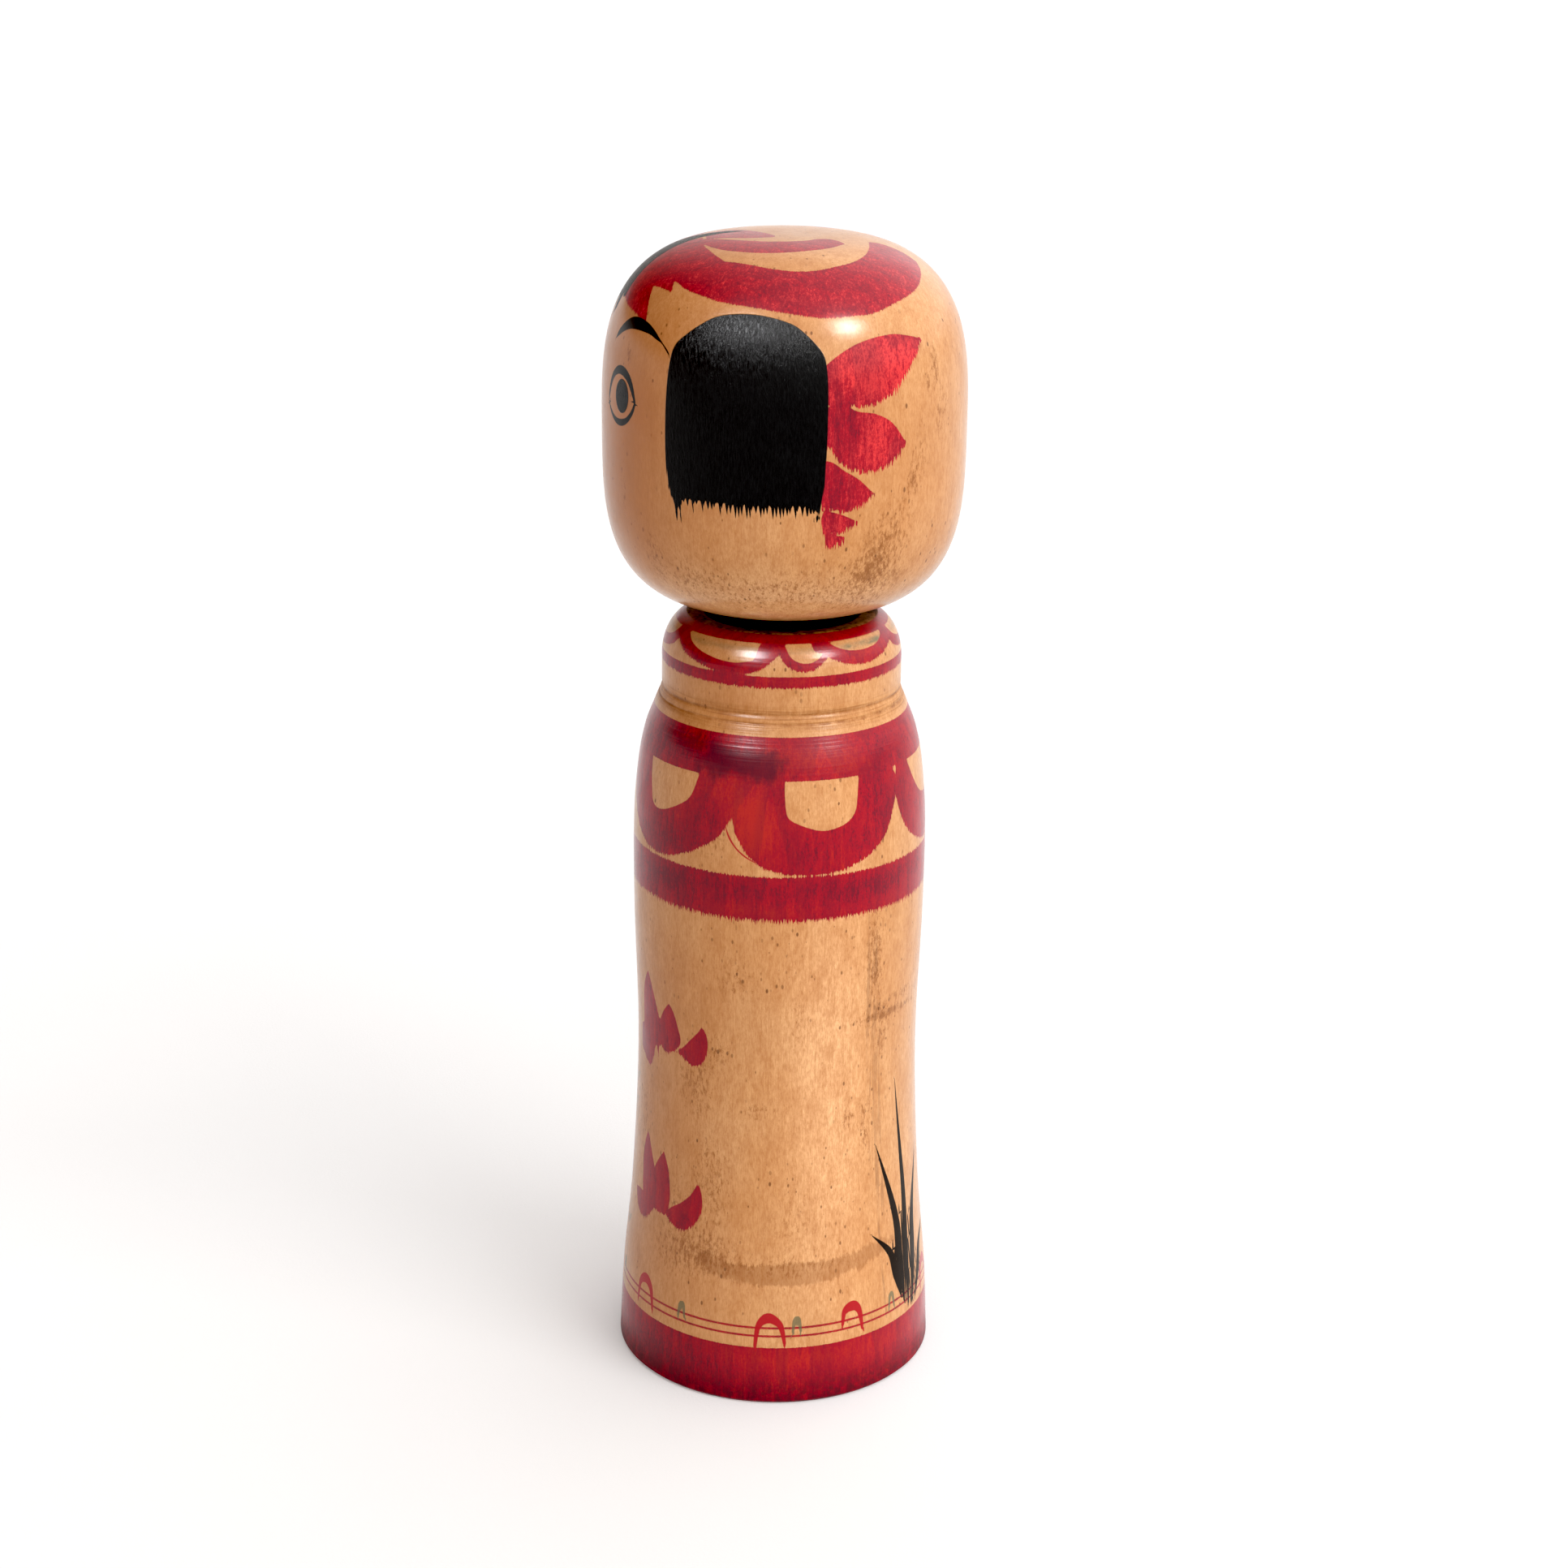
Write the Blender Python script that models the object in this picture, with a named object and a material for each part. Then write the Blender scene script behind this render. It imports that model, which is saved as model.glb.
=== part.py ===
"""A turned wooden kokeshi doll: a body with a socket in its shoulder, and a head that turns on its tenon.

Both pieces are solids of revolution about Z. Heights and radii are in millimetres above the base and
from the axis, and become metres when a piece is turned. The doll stands on the XY plane and looks
along -Y.
"""

import math

import bmesh
import bpy

MM = 0.001
SEGMENTS = 60  # sides of every turned ring
GAP = 0.3  # clearance between the two pieces wherever they face each other

HEIGHT = 300.0

# Head: a rounded barrel, whose upper and lower halves are superellipses.
HEAD_RADIUS = 45.4
HEAD_WIDEST = 253.6
CHIN = 206.7  # where the lower half would reach the axis, if the neck weren't there
UPPER_SQUARENESS = 3.08
LOWER_SQUARENESS = 3.44

# Body: the long curve from the foot to the shoulder, as (height, radius).
FOOT_CHAMFER = 0.8
LONG_CURVE = (
    (0.8, 42.3),
    (22.0, 41.2),
    (50.0, 38.6),
    (88.0, 37.0),
    (125.0, 37.9),
    (150.0, 37.9),
    (165.0, 36.7),
    (174.0, 35.0),
    (180.0, 32.8),
    (184.4, 31.0),
)
CENTRE_MARK_RADIUS = 2.2  # left in the base by the lathe's centre
CENTRE_MARK_DEPTH = 1.6

# Collar: a drum on the shoulder, rounded over to the mouth that the neck stands in.
COLLAR_RADIUS = 30.6
COLLAR_FOOT = 185.6
COLLAR_EDGE = 193.5  # where the side starts to round over
ROUNDING_ACROSS = 8.2
ROUNDING_UP = 11.6
MOUTH_RADIUS = 23.6
LIP_WIDTH = 1.1
LIP_FALL = 0.6
DISH_DROP = 2.2  # from the rim to where the dish starts to curve in
DISH_TAPER = 0.4

# Socket: a throat that widens below, so that the swollen end of the tenon can't come out.
DISH_FLOOR = 199.9
DISH_RADIUS = 13.4
THROAT_RADIUS = 11.2
THROAT_TOP = 198.6
THROAT_END = 193.0
CHAMBER_RADIUS = 12.1
CHAMBER_TOP = 185.5
CHAMBER_END = 174.5
CHAMBER_CORNER = 1.2
SOCKET_BOTTOM = 171.5

# Neck and tenon of the head.
NECK_RADIUS = 12.6
NECK_FILLET = 1.6
SHOULDER_LIFT = 0.42  # straight up, which leaves the gap square to the sloping mouth
SWELL_TOP = 184.8
SWELL_END = 178.0
TENON_END = 174.8
TENON_CHAMFER = 1.5


def smooth_curve(stations, steps):
    """Points on a Catmull-Rom curve through the stations, with the given number of steps between two."""
    last = len(stations) - 1
    points = []
    for index in range(last):
        before = stations[max(index - 1, 0)]
        start = stations[index]
        end = stations[index + 1]
        after = stations[min(index + 2, last)]
        for step in range(steps):
            t = step / steps
            points.append(
                tuple(
                    0.5
                    * (
                        2.0 * b
                        + (c - a) * t
                        + (2.0 * a - 5.0 * b + 4.0 * c - d) * t**2
                        + (3.0 * b - a - 3.0 * c + d) * t**3
                    )
                    for a, b, c, d in zip(before, start, end, after)
                )
            )
    points.append(stations[-1])
    return points


def superellipse(radius, rise, middle, squareness, angles):
    """(radius, height) along a quarter of a superellipse, at the given angles above its widest ring."""
    points = []
    for angle in angles:
        across = radius * math.cos(angle) ** (2.0 / squareness)
        up = rise * abs(math.sin(angle)) ** (2.0 / squareness)
        points.append((across, middle + math.copysign(up, rise)))
    return points


def quarter(steps, first=0.0, last=math.pi / 2.0):
    return [first + (last - first) * step / steps for step in range(steps + 1)]


def turned(name, profile, base, material):
    """Turns a profile of (radius, height), which starts and ends on the axis, into a closed solid.

    The object's origin is on the axis at the height called base.
    """
    mesh = bpy.data.meshes.new(name)
    shape = bmesh.new()
    corners = [shape.verts.new((r * MM, 0.0, (z - base) * MM)) for r, z in profile]
    edges = [shape.edges.new(pair) for pair in zip(corners, corners[1:])]
    bmesh.ops.spin(
        shape,
        geom=corners + edges,
        axis=(0.0, 0.0, 1.0),
        cent=(0.0, 0.0, 0.0),
        angle=2.0 * math.pi,
        steps=SEGMENTS,
        use_merge=True,
    )
    bmesh.ops.remove_doubles(shape, verts=shape.verts, dist=1e-6)
    bmesh.ops.recalc_face_normals(shape, faces=shape.faces)
    shape.to_mesh(mesh)
    shape.free()
    mesh.shade_smooth()
    mesh.set_sharp_from_angle(angle=math.radians(35.0))
    mesh.materials.append(material)
    piece = bpy.data.objects.new(name, mesh)
    piece.location = (0.0, 0.0, base * MM)
    bpy.context.scene.collection.objects.link(piece)
    return piece


def wood(name, colour, roughness):
    material = bpy.data.materials.new(name)
    material.use_nodes = True
    surface = material.node_tree.nodes["Principled BSDF"]
    surface.inputs["Base Color"].default_value = (*colour, 1.0)
    surface.inputs["Roughness"].default_value = roughness
    surface.inputs["Metallic"].default_value = 0.0
    return material


def body_profile():
    """From the centre of the base, up the outside, over the mouth and down into the socket."""
    foot_radius = LONG_CURVE[0][1]
    profile = [
        (0.0, CENTRE_MARK_DEPTH),
        (CENTRE_MARK_RADIUS, 0.0),
        (foot_radius - FOOT_CHAMFER, 0.0),
    ]
    profile += [(r, z) for z, r in smooth_curve(LONG_CURVE, 2)]
    profile.append((COLLAR_RADIUS, COLLAR_FOOT))
    middle = COLLAR_RADIUS - ROUNDING_ACROSS
    mouth_angle = math.acos((MOUTH_RADIUS - middle) / ROUNDING_ACROSS)
    for angle in quarter(7, 0.0, mouth_angle):
        r = middle + ROUNDING_ACROSS * math.cos(angle)
        profile.append((r, COLLAR_EDGE + ROUNDING_UP * math.sin(angle)))
    rim = profile[-1][1]
    dish_edge = MOUTH_RADIUS - LIP_WIDTH
    profile.append((dish_edge, rim - LIP_FALL))
    dish_top = rim - DISH_DROP
    for angle in quarter(4):
        r = DISH_RADIUS + (dish_edge - DISH_TAPER - DISH_RADIUS) * math.cos(angle)
        profile.append((r, dish_top - (dish_top - DISH_FLOOR) * math.sin(angle)))
    profile += [
        (THROAT_RADIUS, THROAT_TOP),
        (THROAT_RADIUS, THROAT_END),
        (CHAMBER_RADIUS, CHAMBER_TOP),
        (CHAMBER_RADIUS, CHAMBER_END),
        (CHAMBER_RADIUS - CHAMBER_CORNER, CHAMBER_END - CHAMBER_CORNER),
        (0.0, SOCKET_BOTTOM),
    ]
    return profile


def head_profile():
    """From the crown, down the outside, under the chin, and down the tenon to its end."""
    top = superellipse(HEAD_RADIUS, HEIGHT - HEAD_WIDEST, HEAD_WIDEST, UPPER_SQUARENESS, quarter(13))
    profile = top[::-1]
    profile[0] = (0.0, HEIGHT)
    neck_angle = math.acos(((NECK_RADIUS + NECK_FILLET) / HEAD_RADIUS) ** (LOWER_SQUARENESS / 2.0))
    under = superellipse(
        HEAD_RADIUS, CHIN - HEAD_WIDEST, HEAD_WIDEST, LOWER_SQUARENESS, quarter(11, 0.0, neck_angle)
    )
    profile += under[1:]
    underside = profile[-1][1]
    for angle in quarter(3)[1:]:
        r = NECK_RADIUS + NECK_FILLET * (1.0 - math.sin(angle))
        profile.append((r, underside - NECK_FILLET * (1.0 - math.cos(angle))))
    # The neck's shoulder follows the slope of the socket's mouth, and stands clear of it.
    slope = (DISH_FLOOR - THROAT_TOP) / (DISH_RADIUS - THROAT_RADIUS)
    tenon_radius = THROAT_RADIUS - GAP
    shoulder = THROAT_TOP + slope * (NECK_RADIUS - THROAT_RADIUS) + SHOULDER_LIFT
    profile += [
        (NECK_RADIUS, shoulder),
        (tenon_radius, shoulder - slope * (NECK_RADIUS - tenon_radius)),
        (tenon_radius, THROAT_END),
        (CHAMBER_RADIUS - GAP, SWELL_TOP),
        (CHAMBER_RADIUS - GAP, SWELL_END),
        (CHAMBER_RADIUS - GAP - TENON_CHAMFER, TENON_END),
        (0.0, TENON_END),
    ]
    return profile


def main():
    for leftover in list(bpy.data.objects):
        bpy.data.objects.remove(leftover, do_unlink=True)
    body = turned("body", body_profile(), 0.0, wood("body_wood", (0.62, 0.36, 0.16), 0.42))
    head = turned("head", head_profile(), THROAT_TOP, wood("head_wood", (0.66, 0.40, 0.19), 0.38))
    head.parent = body


main()
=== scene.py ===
"""The visual model of a turned and hand-painted kokeshi doll, with its camera, lights and floor.

The two pieces are fine turned meshes. Every brush mark is an outline or a stroke laid on the wood, in
(angle, height): degrees from the face round to the doll's left, and millimetres above the base. The
crown's marks are laid in plan, in (y, x) millimetres. Each vertex keeps its signed distance to the
marks, and the materials turn these distances into dye and ink with frayed edges.
"""

import math

import bpy
import numpy as np
from mathutils import Matrix, Vector


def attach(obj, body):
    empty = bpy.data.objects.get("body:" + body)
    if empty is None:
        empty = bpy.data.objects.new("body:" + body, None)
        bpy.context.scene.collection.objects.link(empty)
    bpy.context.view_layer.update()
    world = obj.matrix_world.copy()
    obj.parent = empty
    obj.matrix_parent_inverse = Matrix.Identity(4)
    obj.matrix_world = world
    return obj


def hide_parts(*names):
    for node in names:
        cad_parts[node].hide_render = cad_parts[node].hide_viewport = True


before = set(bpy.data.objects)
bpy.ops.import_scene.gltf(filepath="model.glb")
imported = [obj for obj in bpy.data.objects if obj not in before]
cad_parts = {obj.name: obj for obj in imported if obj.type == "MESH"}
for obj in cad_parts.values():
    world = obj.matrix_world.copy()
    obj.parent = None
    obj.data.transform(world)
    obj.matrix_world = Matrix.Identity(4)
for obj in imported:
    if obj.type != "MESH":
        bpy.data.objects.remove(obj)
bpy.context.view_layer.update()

MM = 0.001
CROWN_FROM = 261.6  # marks laid in plan stay above this height
FAR = 9.0  # the distance, in mm, given to a vertex that no mark is near
REACH = 5.0  # how far round a mark its distances are worked out, in mm
CROWN_ROUGH = 0.3  # how far the edges of the crown's marks fray, in mm

# ---------------------------------------------------------------------------------------------------
# Turned shapes, in mm. The heights and radii are the CAD model's, apart from the shoulder's grooves, the
# collar's foot and the worn lip.

HEIGHT = 300.0
HEAD_RADIUS = 45.4
HEAD_WIDEST = 253.6
CHIN = 206.7
UPPER_SQUARENESS = 3.08
LOWER_SQUARENESS = 3.44
NECK_RADIUS = 12.6
NECK_FILLET = 1.6
NECK_SHOULDER = ((12.6, 199.8), (10.9, 198))
TENON = ((10.9, 193), (11.8, 184.8), (11.8, 178), (10.3, 174.8), (0, 174.8))

LONG_CURVE = (
    (0.8, 42.3), (22, 41.2), (50, 38.6), (88, 37), (125, 37.9), (150, 37.9), (165, 36.7), (174, 35),
    (180, 32.8), (184.4, 31)
)
FOOT = ((0, 1.6), (2.2, 0), (41.5, 0))
SHOULDER_GROOVES = ((183.7, 0.16, 0.3), (185.9, 0.18, 0.4))  # height, depth and width
SHOULDER_BEAD = (184.8, 0.08, 0.4)  # height, rise and width
COLLAR_RADIUS = 30.6
COLLAR_FOOT = 185.9
SHOULDER_END = ((31, 184.4), (30.65, 185.1), (COLLAR_RADIUS, COLLAR_FOOT))
COLLAR_EDGE = 193.5  # where the side starts to round over
ROUNDING_ACROSS = 8.2
ROUNDING_UP = 11.6
MOUTH_RADIUS = 23.6
LIP = ((23.2, 0), (22.6, 0.1), (19.8, 0.4))  # the worn lip's radii, and how far each is below the rim
DISH_DROP = 2.2  # from the rim to where the dish starts to curve in
DISH_TAPER = 0.4
DISH_FLOOR = 199.9
DISH_RADIUS = 13.4
SOCKET = ((11.2, 198.6), (11.2, 193), (12.1, 185.5), (12.1, 174.5), (10.9, 173.3), (0, 171.5))

UPPER_STEP, LOWER_STEP, BODY_STEP = 0.62, 0.74, 0.8  # between rings on the head's halves and the body
MOUTH_STEP = 0.62
GROOVE_FROM, GROOVE_TO, GROOVE_STEP = 183.0, 186.6, 0.13  # closer rings for the shoulder's grooves
GROOVE_CLEAR = 0.3  # from the closer rings to the others
SHARP = math.radians(38.0)  # an edge that turns by more looks sharp
HEAD_SIDES = 440
BODY_SIDES = 312


def smooth_curve(points, steps=8):
    """Points on a Catmull-Rom curve through the given ones."""
    points = np.array(points, float)
    last = len(points) - 1
    out = []
    for index in range(last):
        a, b = points[max(index - 1, 0)], points[index]
        c, d = points[index + 1], points[min(index + 2, last)]
        for step in range(steps):
            t = step / steps
            linear = (c - a) * t
            square = (2.0 * a - 5.0 * b + 4.0 * c - d) * t**2
            cube = (3.0 * b - a - 3.0 * c + d) * t**3
            out.append(0.5 * (2.0 * b + linear + square + cube))
    out.append(points[-1])
    return np.array(out)


def pairs(first, second):
    return np.stack([first, second], axis=1)


def spaced(points, spacing):
    """The same line with its points an even distance apart."""
    points = np.array(points, float)
    lengths = np.concatenate([[0.0], np.cumsum(np.hypot(*np.diff(points, axis=0).T))])
    count = max(int(round(lengths[-1] / spacing)), 1) + 1
    at = np.linspace(0.0, lengths[-1], count)
    return pairs(*(np.interp(at, lengths, points[:, axis]) for axis in (0, 1)))


def superellipse(rise, squareness, angles):
    across = HEAD_RADIUS * np.cos(angles) ** (2.0 / squareness)
    up = np.abs(np.sin(angles)) ** (2.0 / squareness)
    return pairs(across, HEAD_WIDEST + rise * up)


def fillet(radius, top, size, steps=5):
    angles = np.linspace(0.0, math.pi / 2.0, steps)
    across = radius + size * (1.0 - np.sin(angles))
    return pairs(across, top - size * (1.0 - np.cos(angles)))


def head_profile():
    quarter = np.linspace(0.0, math.pi / 2.0, 700)
    upper = superellipse(HEIGHT - HEAD_WIDEST, UPPER_SQUARENESS, quarter)[::-1]
    upper[0] = (0.0, HEIGHT)
    neck = ((NECK_RADIUS + NECK_FILLET) / HEAD_RADIUS) ** (LOWER_SQUARENESS / 2.0)
    quarter = np.linspace(0.0, math.acos(neck), 500)
    lower = superellipse(CHIN - HEAD_WIDEST, LOWER_SQUARENESS, quarter)
    neck = fillet(NECK_RADIUS, lower[-1][1], NECK_FILLET)[1:]
    upper, lower = spaced(upper, UPPER_STEP), spaced(lower, LOWER_STEP)[1:]
    return np.vstack([upper, lower, neck, spaced(NECK_SHOULDER, BODY_STEP), TENON])


def ripple(height, centre, rise, width):
    return rise * np.exp(-(((height - centre) / width) ** 2))


def body_profile():
    curve = smooth_curve(LONG_CURVE, 24)[:, ::-1]
    shoulder = smooth_curve(SHOULDER_END)[1:]
    outside = spaced(np.vstack([curve, shoulder, [(COLLAR_RADIUS, COLLAR_EDGE)]]), BODY_STEP)
    fine = spaced([(0.0, GROOVE_FROM), (0.0, GROOVE_TO)], GROOVE_STEP)[:, 1]
    grooved = np.interp(fine, outside[:, 1], outside[:, 0])
    for height, depth, width in SHOULDER_GROOVES:
        grooved -= ripple(fine, height, depth, width)
    grooved += ripple(fine, *SHOULDER_BEAD)
    below = outside[outside[:, 1] < GROOVE_FROM - GROOVE_CLEAR]
    above = outside[outside[:, 1] > GROOVE_TO + GROOVE_CLEAR]
    middle = COLLAR_RADIUS - ROUNDING_ACROSS
    angles = np.linspace(0.0, math.acos((MOUTH_RADIUS - middle) / ROUNDING_ACROSS), 120)
    rounding = pairs(middle + ROUNDING_ACROSS * np.cos(angles), COLLAR_EDGE + ROUNDING_UP * np.sin(angles))
    rim = rounding[-1][1]
    lip = [(radius, rim - fall) for radius, fall in LIP]
    angles = np.linspace(0.0, math.pi / 2.0, 12)
    across = (LIP[-1][0] - DISH_TAPER - DISH_RADIUS) * np.cos(angles)
    sunk = (rim - DISH_DROP - DISH_FLOOR) * np.sin(angles)
    dish = pairs(DISH_RADIUS + across, rim - DISH_DROP - sunk)
    rounding = spaced(rounding, MOUTH_STEP)[1:]
    return np.vstack([FOOT, below, pairs(grooved, fine), above, rounding, lip, dish, SOCKET])


def turned(name, profile, sides):
    """Turns a profile of (radius, height) in mm, which starts and ends on the axis, into a closed mesh."""
    rings = profile[1:-1]
    turn = np.arange(sides) * (2.0 * math.pi / sides)
    across = rings[:, :1] * MM
    up = np.repeat(rings[:, 1:] * MM, sides, axis=1)
    points = np.stack([across * np.cos(turn), across * np.sin(turn), up], axis=-1).reshape(-1, 3)
    poles = [(0.0, 0.0, profile[0][1] * MM), (0.0, 0.0, profile[-1][1] * MM)]
    first, last = len(points), len(points) + 1
    here = np.arange(sides)
    beside = (here + 1) % sides
    faces = []
    for ring in range(len(rings) - 1):
        row = ring * sides
        quads = np.stack([row + here, row + sides + here, row + sides + beside, row + beside], axis=1)
        faces += quads.tolist()
    row = (len(rings) - 1) * sides
    faces += np.stack([np.full(sides, first), here, beside], axis=1).tolist()
    faces += np.stack([np.full(sides, last), row + beside, row + here], axis=1).tolist()
    mesh = bpy.data.meshes.new(name)
    mesh.from_pydata(np.vstack([points, poles]).tolist(), [], faces)
    if profile[0][1] < profile[-1][1]:
        mesh.flip_normals()
    mesh.shade_smooth()
    mesh.set_sharp_from_angle(angle=SHARP)
    mesh.update()
    piece = bpy.data.objects.new(name, mesh)
    bpy.context.scene.collection.objects.link(piece)
    return piece


# ---------------------------------------------------------------------------------------------------
# Marks: how far each vertex is from what the brush laid down.


class Surface:
    """The vertices of a piece in mm, with their angle round the axis, and the fields laid on them."""

    def __init__(self, piece):
        self.mesh = piece.data
        flat = np.empty(len(self.mesh.vertices) * 3, np.float32)
        self.mesh.vertices.foreach_get("co", flat)
        self.x, self.y, self.z = (flat.reshape(-1, 3).astype(float) / MM).T
        self.angle = np.degrees(np.arctan2(self.x, -self.y))
        self.radius = np.hypot(self.x, self.y)

    def on_side(self, middle, scale):
        """(arc, height) of every vertex in mm, for marks near the given angle."""
        turned_by = (self.angle - middle + 180.0) % 360.0 - 180.0 + middle
        return pairs(turned_by * scale, self.z)

    def in_plan(self):
        return pairs(self.y, self.x)

    def keep(self, name, values):
        field = self.mesh.attributes.new(name, "FLOAT", "POINT")
        field.data.foreach_set("value", np.asarray(values, np.float32))

    def keep_spots(self, fields, scale):
        """Fields of soft spots, added up, each spot (angle, height, half arc, half height, strength)."""
        for name, spots in fields.items():
            total = np.zeros(len(self.z))
            for angle, height, across, up, strength in spots:
                points = self.on_side(angle, scale)
                arc, rise = points[:, 0] - angle * scale, points[:, 1] - height
                total += strength * np.exp(-((arc / across) ** 2 + (rise / up) ** 2))
            self.keep(name, total)


def joined(*runs):
    """A closed outline from smooth runs that meet in corners, each from where the one before it ends.

    A run of one point is a straight line. When it comes last, it only says where the outline starts.
    """
    corner = runs[-1][-1]
    if len(runs[-1]) == 1:
        runs = runs[:-1]
    shape = []
    for run in runs:
        shape.append(smooth_curve((corner, *run))[:-1] if len(run) > 1 else [corner])
        corner = run[-1]
    return np.vstack(shape)


def mirrored(shape, axis=0):
    shape = np.array(shape, float)
    shape[:, axis] *= -1.0
    return shape


def within_reach(points, shape):
    low, high = shape.min(axis=0) - REACH, shape.max(axis=0) + REACH
    return (points > low).all(axis=1) & (points < high).all(axis=1)


def to_line(points, line):
    """The distance from each point to a line, the gap between them, and where on the line that is."""
    nearest = np.full(len(points), np.inf)
    gap = np.zeros((len(points), 2))
    segment = np.zeros(len(points), int)
    share = np.zeros(len(points))
    for index, (start, end) in enumerate(zip(line, line[1:])):
        along = end - start
        offset = points - start
        part = np.clip((offset @ along) / max(along @ along, 1e-9), 0.0, 1.0)
        off = offset - part[:, None] * along
        distance = np.hypot(off[:, 0], off[:, 1])
        closer = distance < nearest
        nearest[closer] = distance[closer]
        gap[closer] = off[closer]
        segment[closer] = index
        share[closer] = part[closer]
    return nearest, gap, segment, share


def to_outline(points, outline):
    """Signed distance to a closed outline, less than 0 inside, and how fast it grows upwards."""
    closed = np.vstack([outline, outline[:1]])
    distance, gap = to_line(points, closed)[:2]
    inside = np.zeros(len(points), bool)
    for start, end in zip(closed, closed[1:]):
        if start[1] != end[1]:
            crossed = (start[1] > points[:, 1]) != (end[1] > points[:, 1])
            along = end - start
            crossing = start[0] + (points[:, 1] - start[1]) * along[0] / along[1]
            inside ^= crossed & (points[:, 0] < crossing)
    sign = np.where(inside, -1.0, 1.0)
    return distance * sign, gap[:, 1] / np.maximum(distance, 1e-6) * sign


class Dye:
    """One colour of dye: its nearest mark, how far that mark frays, and the mark that overlaps it."""

    def __init__(self, surface):
        self.surface = surface
        count = len(surface.z)
        self.edge = np.full(count, FAR)
        self.second = np.full(count, FAR)
        self.fray = np.zeros(count)

    def lay(self, chosen, distance, fray):
        edge, second = self.edge[chosen], self.second[chosen]
        nearer = distance < edge
        self.second[chosen] = np.where(nearer, edge, np.minimum(second, distance))
        self.edge[chosen] = np.where(nearer, distance, edge)
        self.fray[chosen] = np.where(nearer, fray, self.fray[chosen])

    def lay_inside(self, outline, points, where, drip, rough):
        chosen = np.flatnonzero(where & within_reach(points, outline))
        distance, climb = to_outline(points[chosen], outline)
        self.lay(chosen, distance, rough + drip * np.maximum(-climb, 0.0))

    def area(self, outline, scale, drip=0.0, rough=0.1):
        """An outline in (angle, height). It frays by drip along its lower edge, and by rough all round."""
        points = self.surface.on_side(outline[:, 0].mean(), scale)
        self.lay_inside(outline * (scale, 1.0), points, self.surface.radius > 0.0, drip, rough)

    def both_sides(self, outline, scale, drip, rough):
        """An outline on the doll's left side, and its mirror image on the right."""
        self.area(outline, scale, drip, rough)
        self.area(mirrored(outline), scale, drip, rough)

    def plan(self, outline):
        """An outline on the crown, in (y, x)."""
        self.lay_inside(outline, self.surface.in_plan(), self.surface.z > CROWN_FROM, 0.0, CROWN_ROUGH)

    def band(self, low, high, drip, rough):
        """A band turned round the piece while it spun."""
        height = self.surface.z
        distance = np.maximum(low - height, height - high)
        below = low - height > height - high
        everywhere = np.arange(len(height))
        self.lay(everywhere, distance, np.where(below, rough + drip, rough))

    def keep(self, name):
        self.surface.keep(name + "_edge", np.clip(self.edge, -FAR, FAR))
        self.surface.keep(name + "_fray", self.fray)
        self.surface.keep(name + "_second", np.clip(self.second, -FAR, FAR))


class Ink:
    """Thin brush lines: the signed distance to the nearest line's middle, and its half width there."""

    def __init__(self, surface):
        self.surface = surface
        count = len(surface.z)
        self.side = np.full(count, FAR)
        self.half = np.zeros(count)
        self.gap = np.full(count, FAR)
        self.hue = np.zeros(count)

    def stroke(self, line, scale, hue=0.0):
        """A line in (angle, height, half width)."""
        line = smooth_curve(line)
        points = self.surface.on_side(line[:, 0].mean(), scale)
        route = line[:, :2] * (scale, 1.0)
        chosen = np.flatnonzero(within_reach(points, route))
        distance, _, segment, share = to_line(points[chosen], route)
        along = np.diff(route, axis=0)[segment]
        offset = points[chosen] - route[segment]
        cross = along[:, 0] * offset[:, 1] - along[:, 1] * offset[:, 0]
        side = np.where(cross < 0.0, -distance, distance)
        half = line[segment, 2] + share * np.diff(line[:, 2])[segment]
        better = distance - half < self.gap[chosen]
        chosen = chosen[better]
        self.gap[chosen] = (distance - half)[better]
        self.side[chosen] = side[better]
        self.half[chosen] = half[better]
        self.hue[chosen] = hue

    def keep(self, name):
        self.surface.keep(name + "_side", self.side)
        self.surface.keep(name + "_half", self.half)
        self.surface.keep(name + "_gap", self.gap)
        self.surface.keep(name + "_hue", self.hue)


# ---------------------------------------------------------------------------------------------------
# What is painted on the head.

HEAD_ARC = math.radians(HEAD_RADIUS)  # mm of arc to a degree
# How far a mark frays, in mm: downwards from its lower edge, and all round.
SIDE_PETAL_FRAY, HAIR_FRAY, PUPIL_FRAY = (2.6, 0.12), (3.9, 0.05), (0.0, 0.03)

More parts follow.
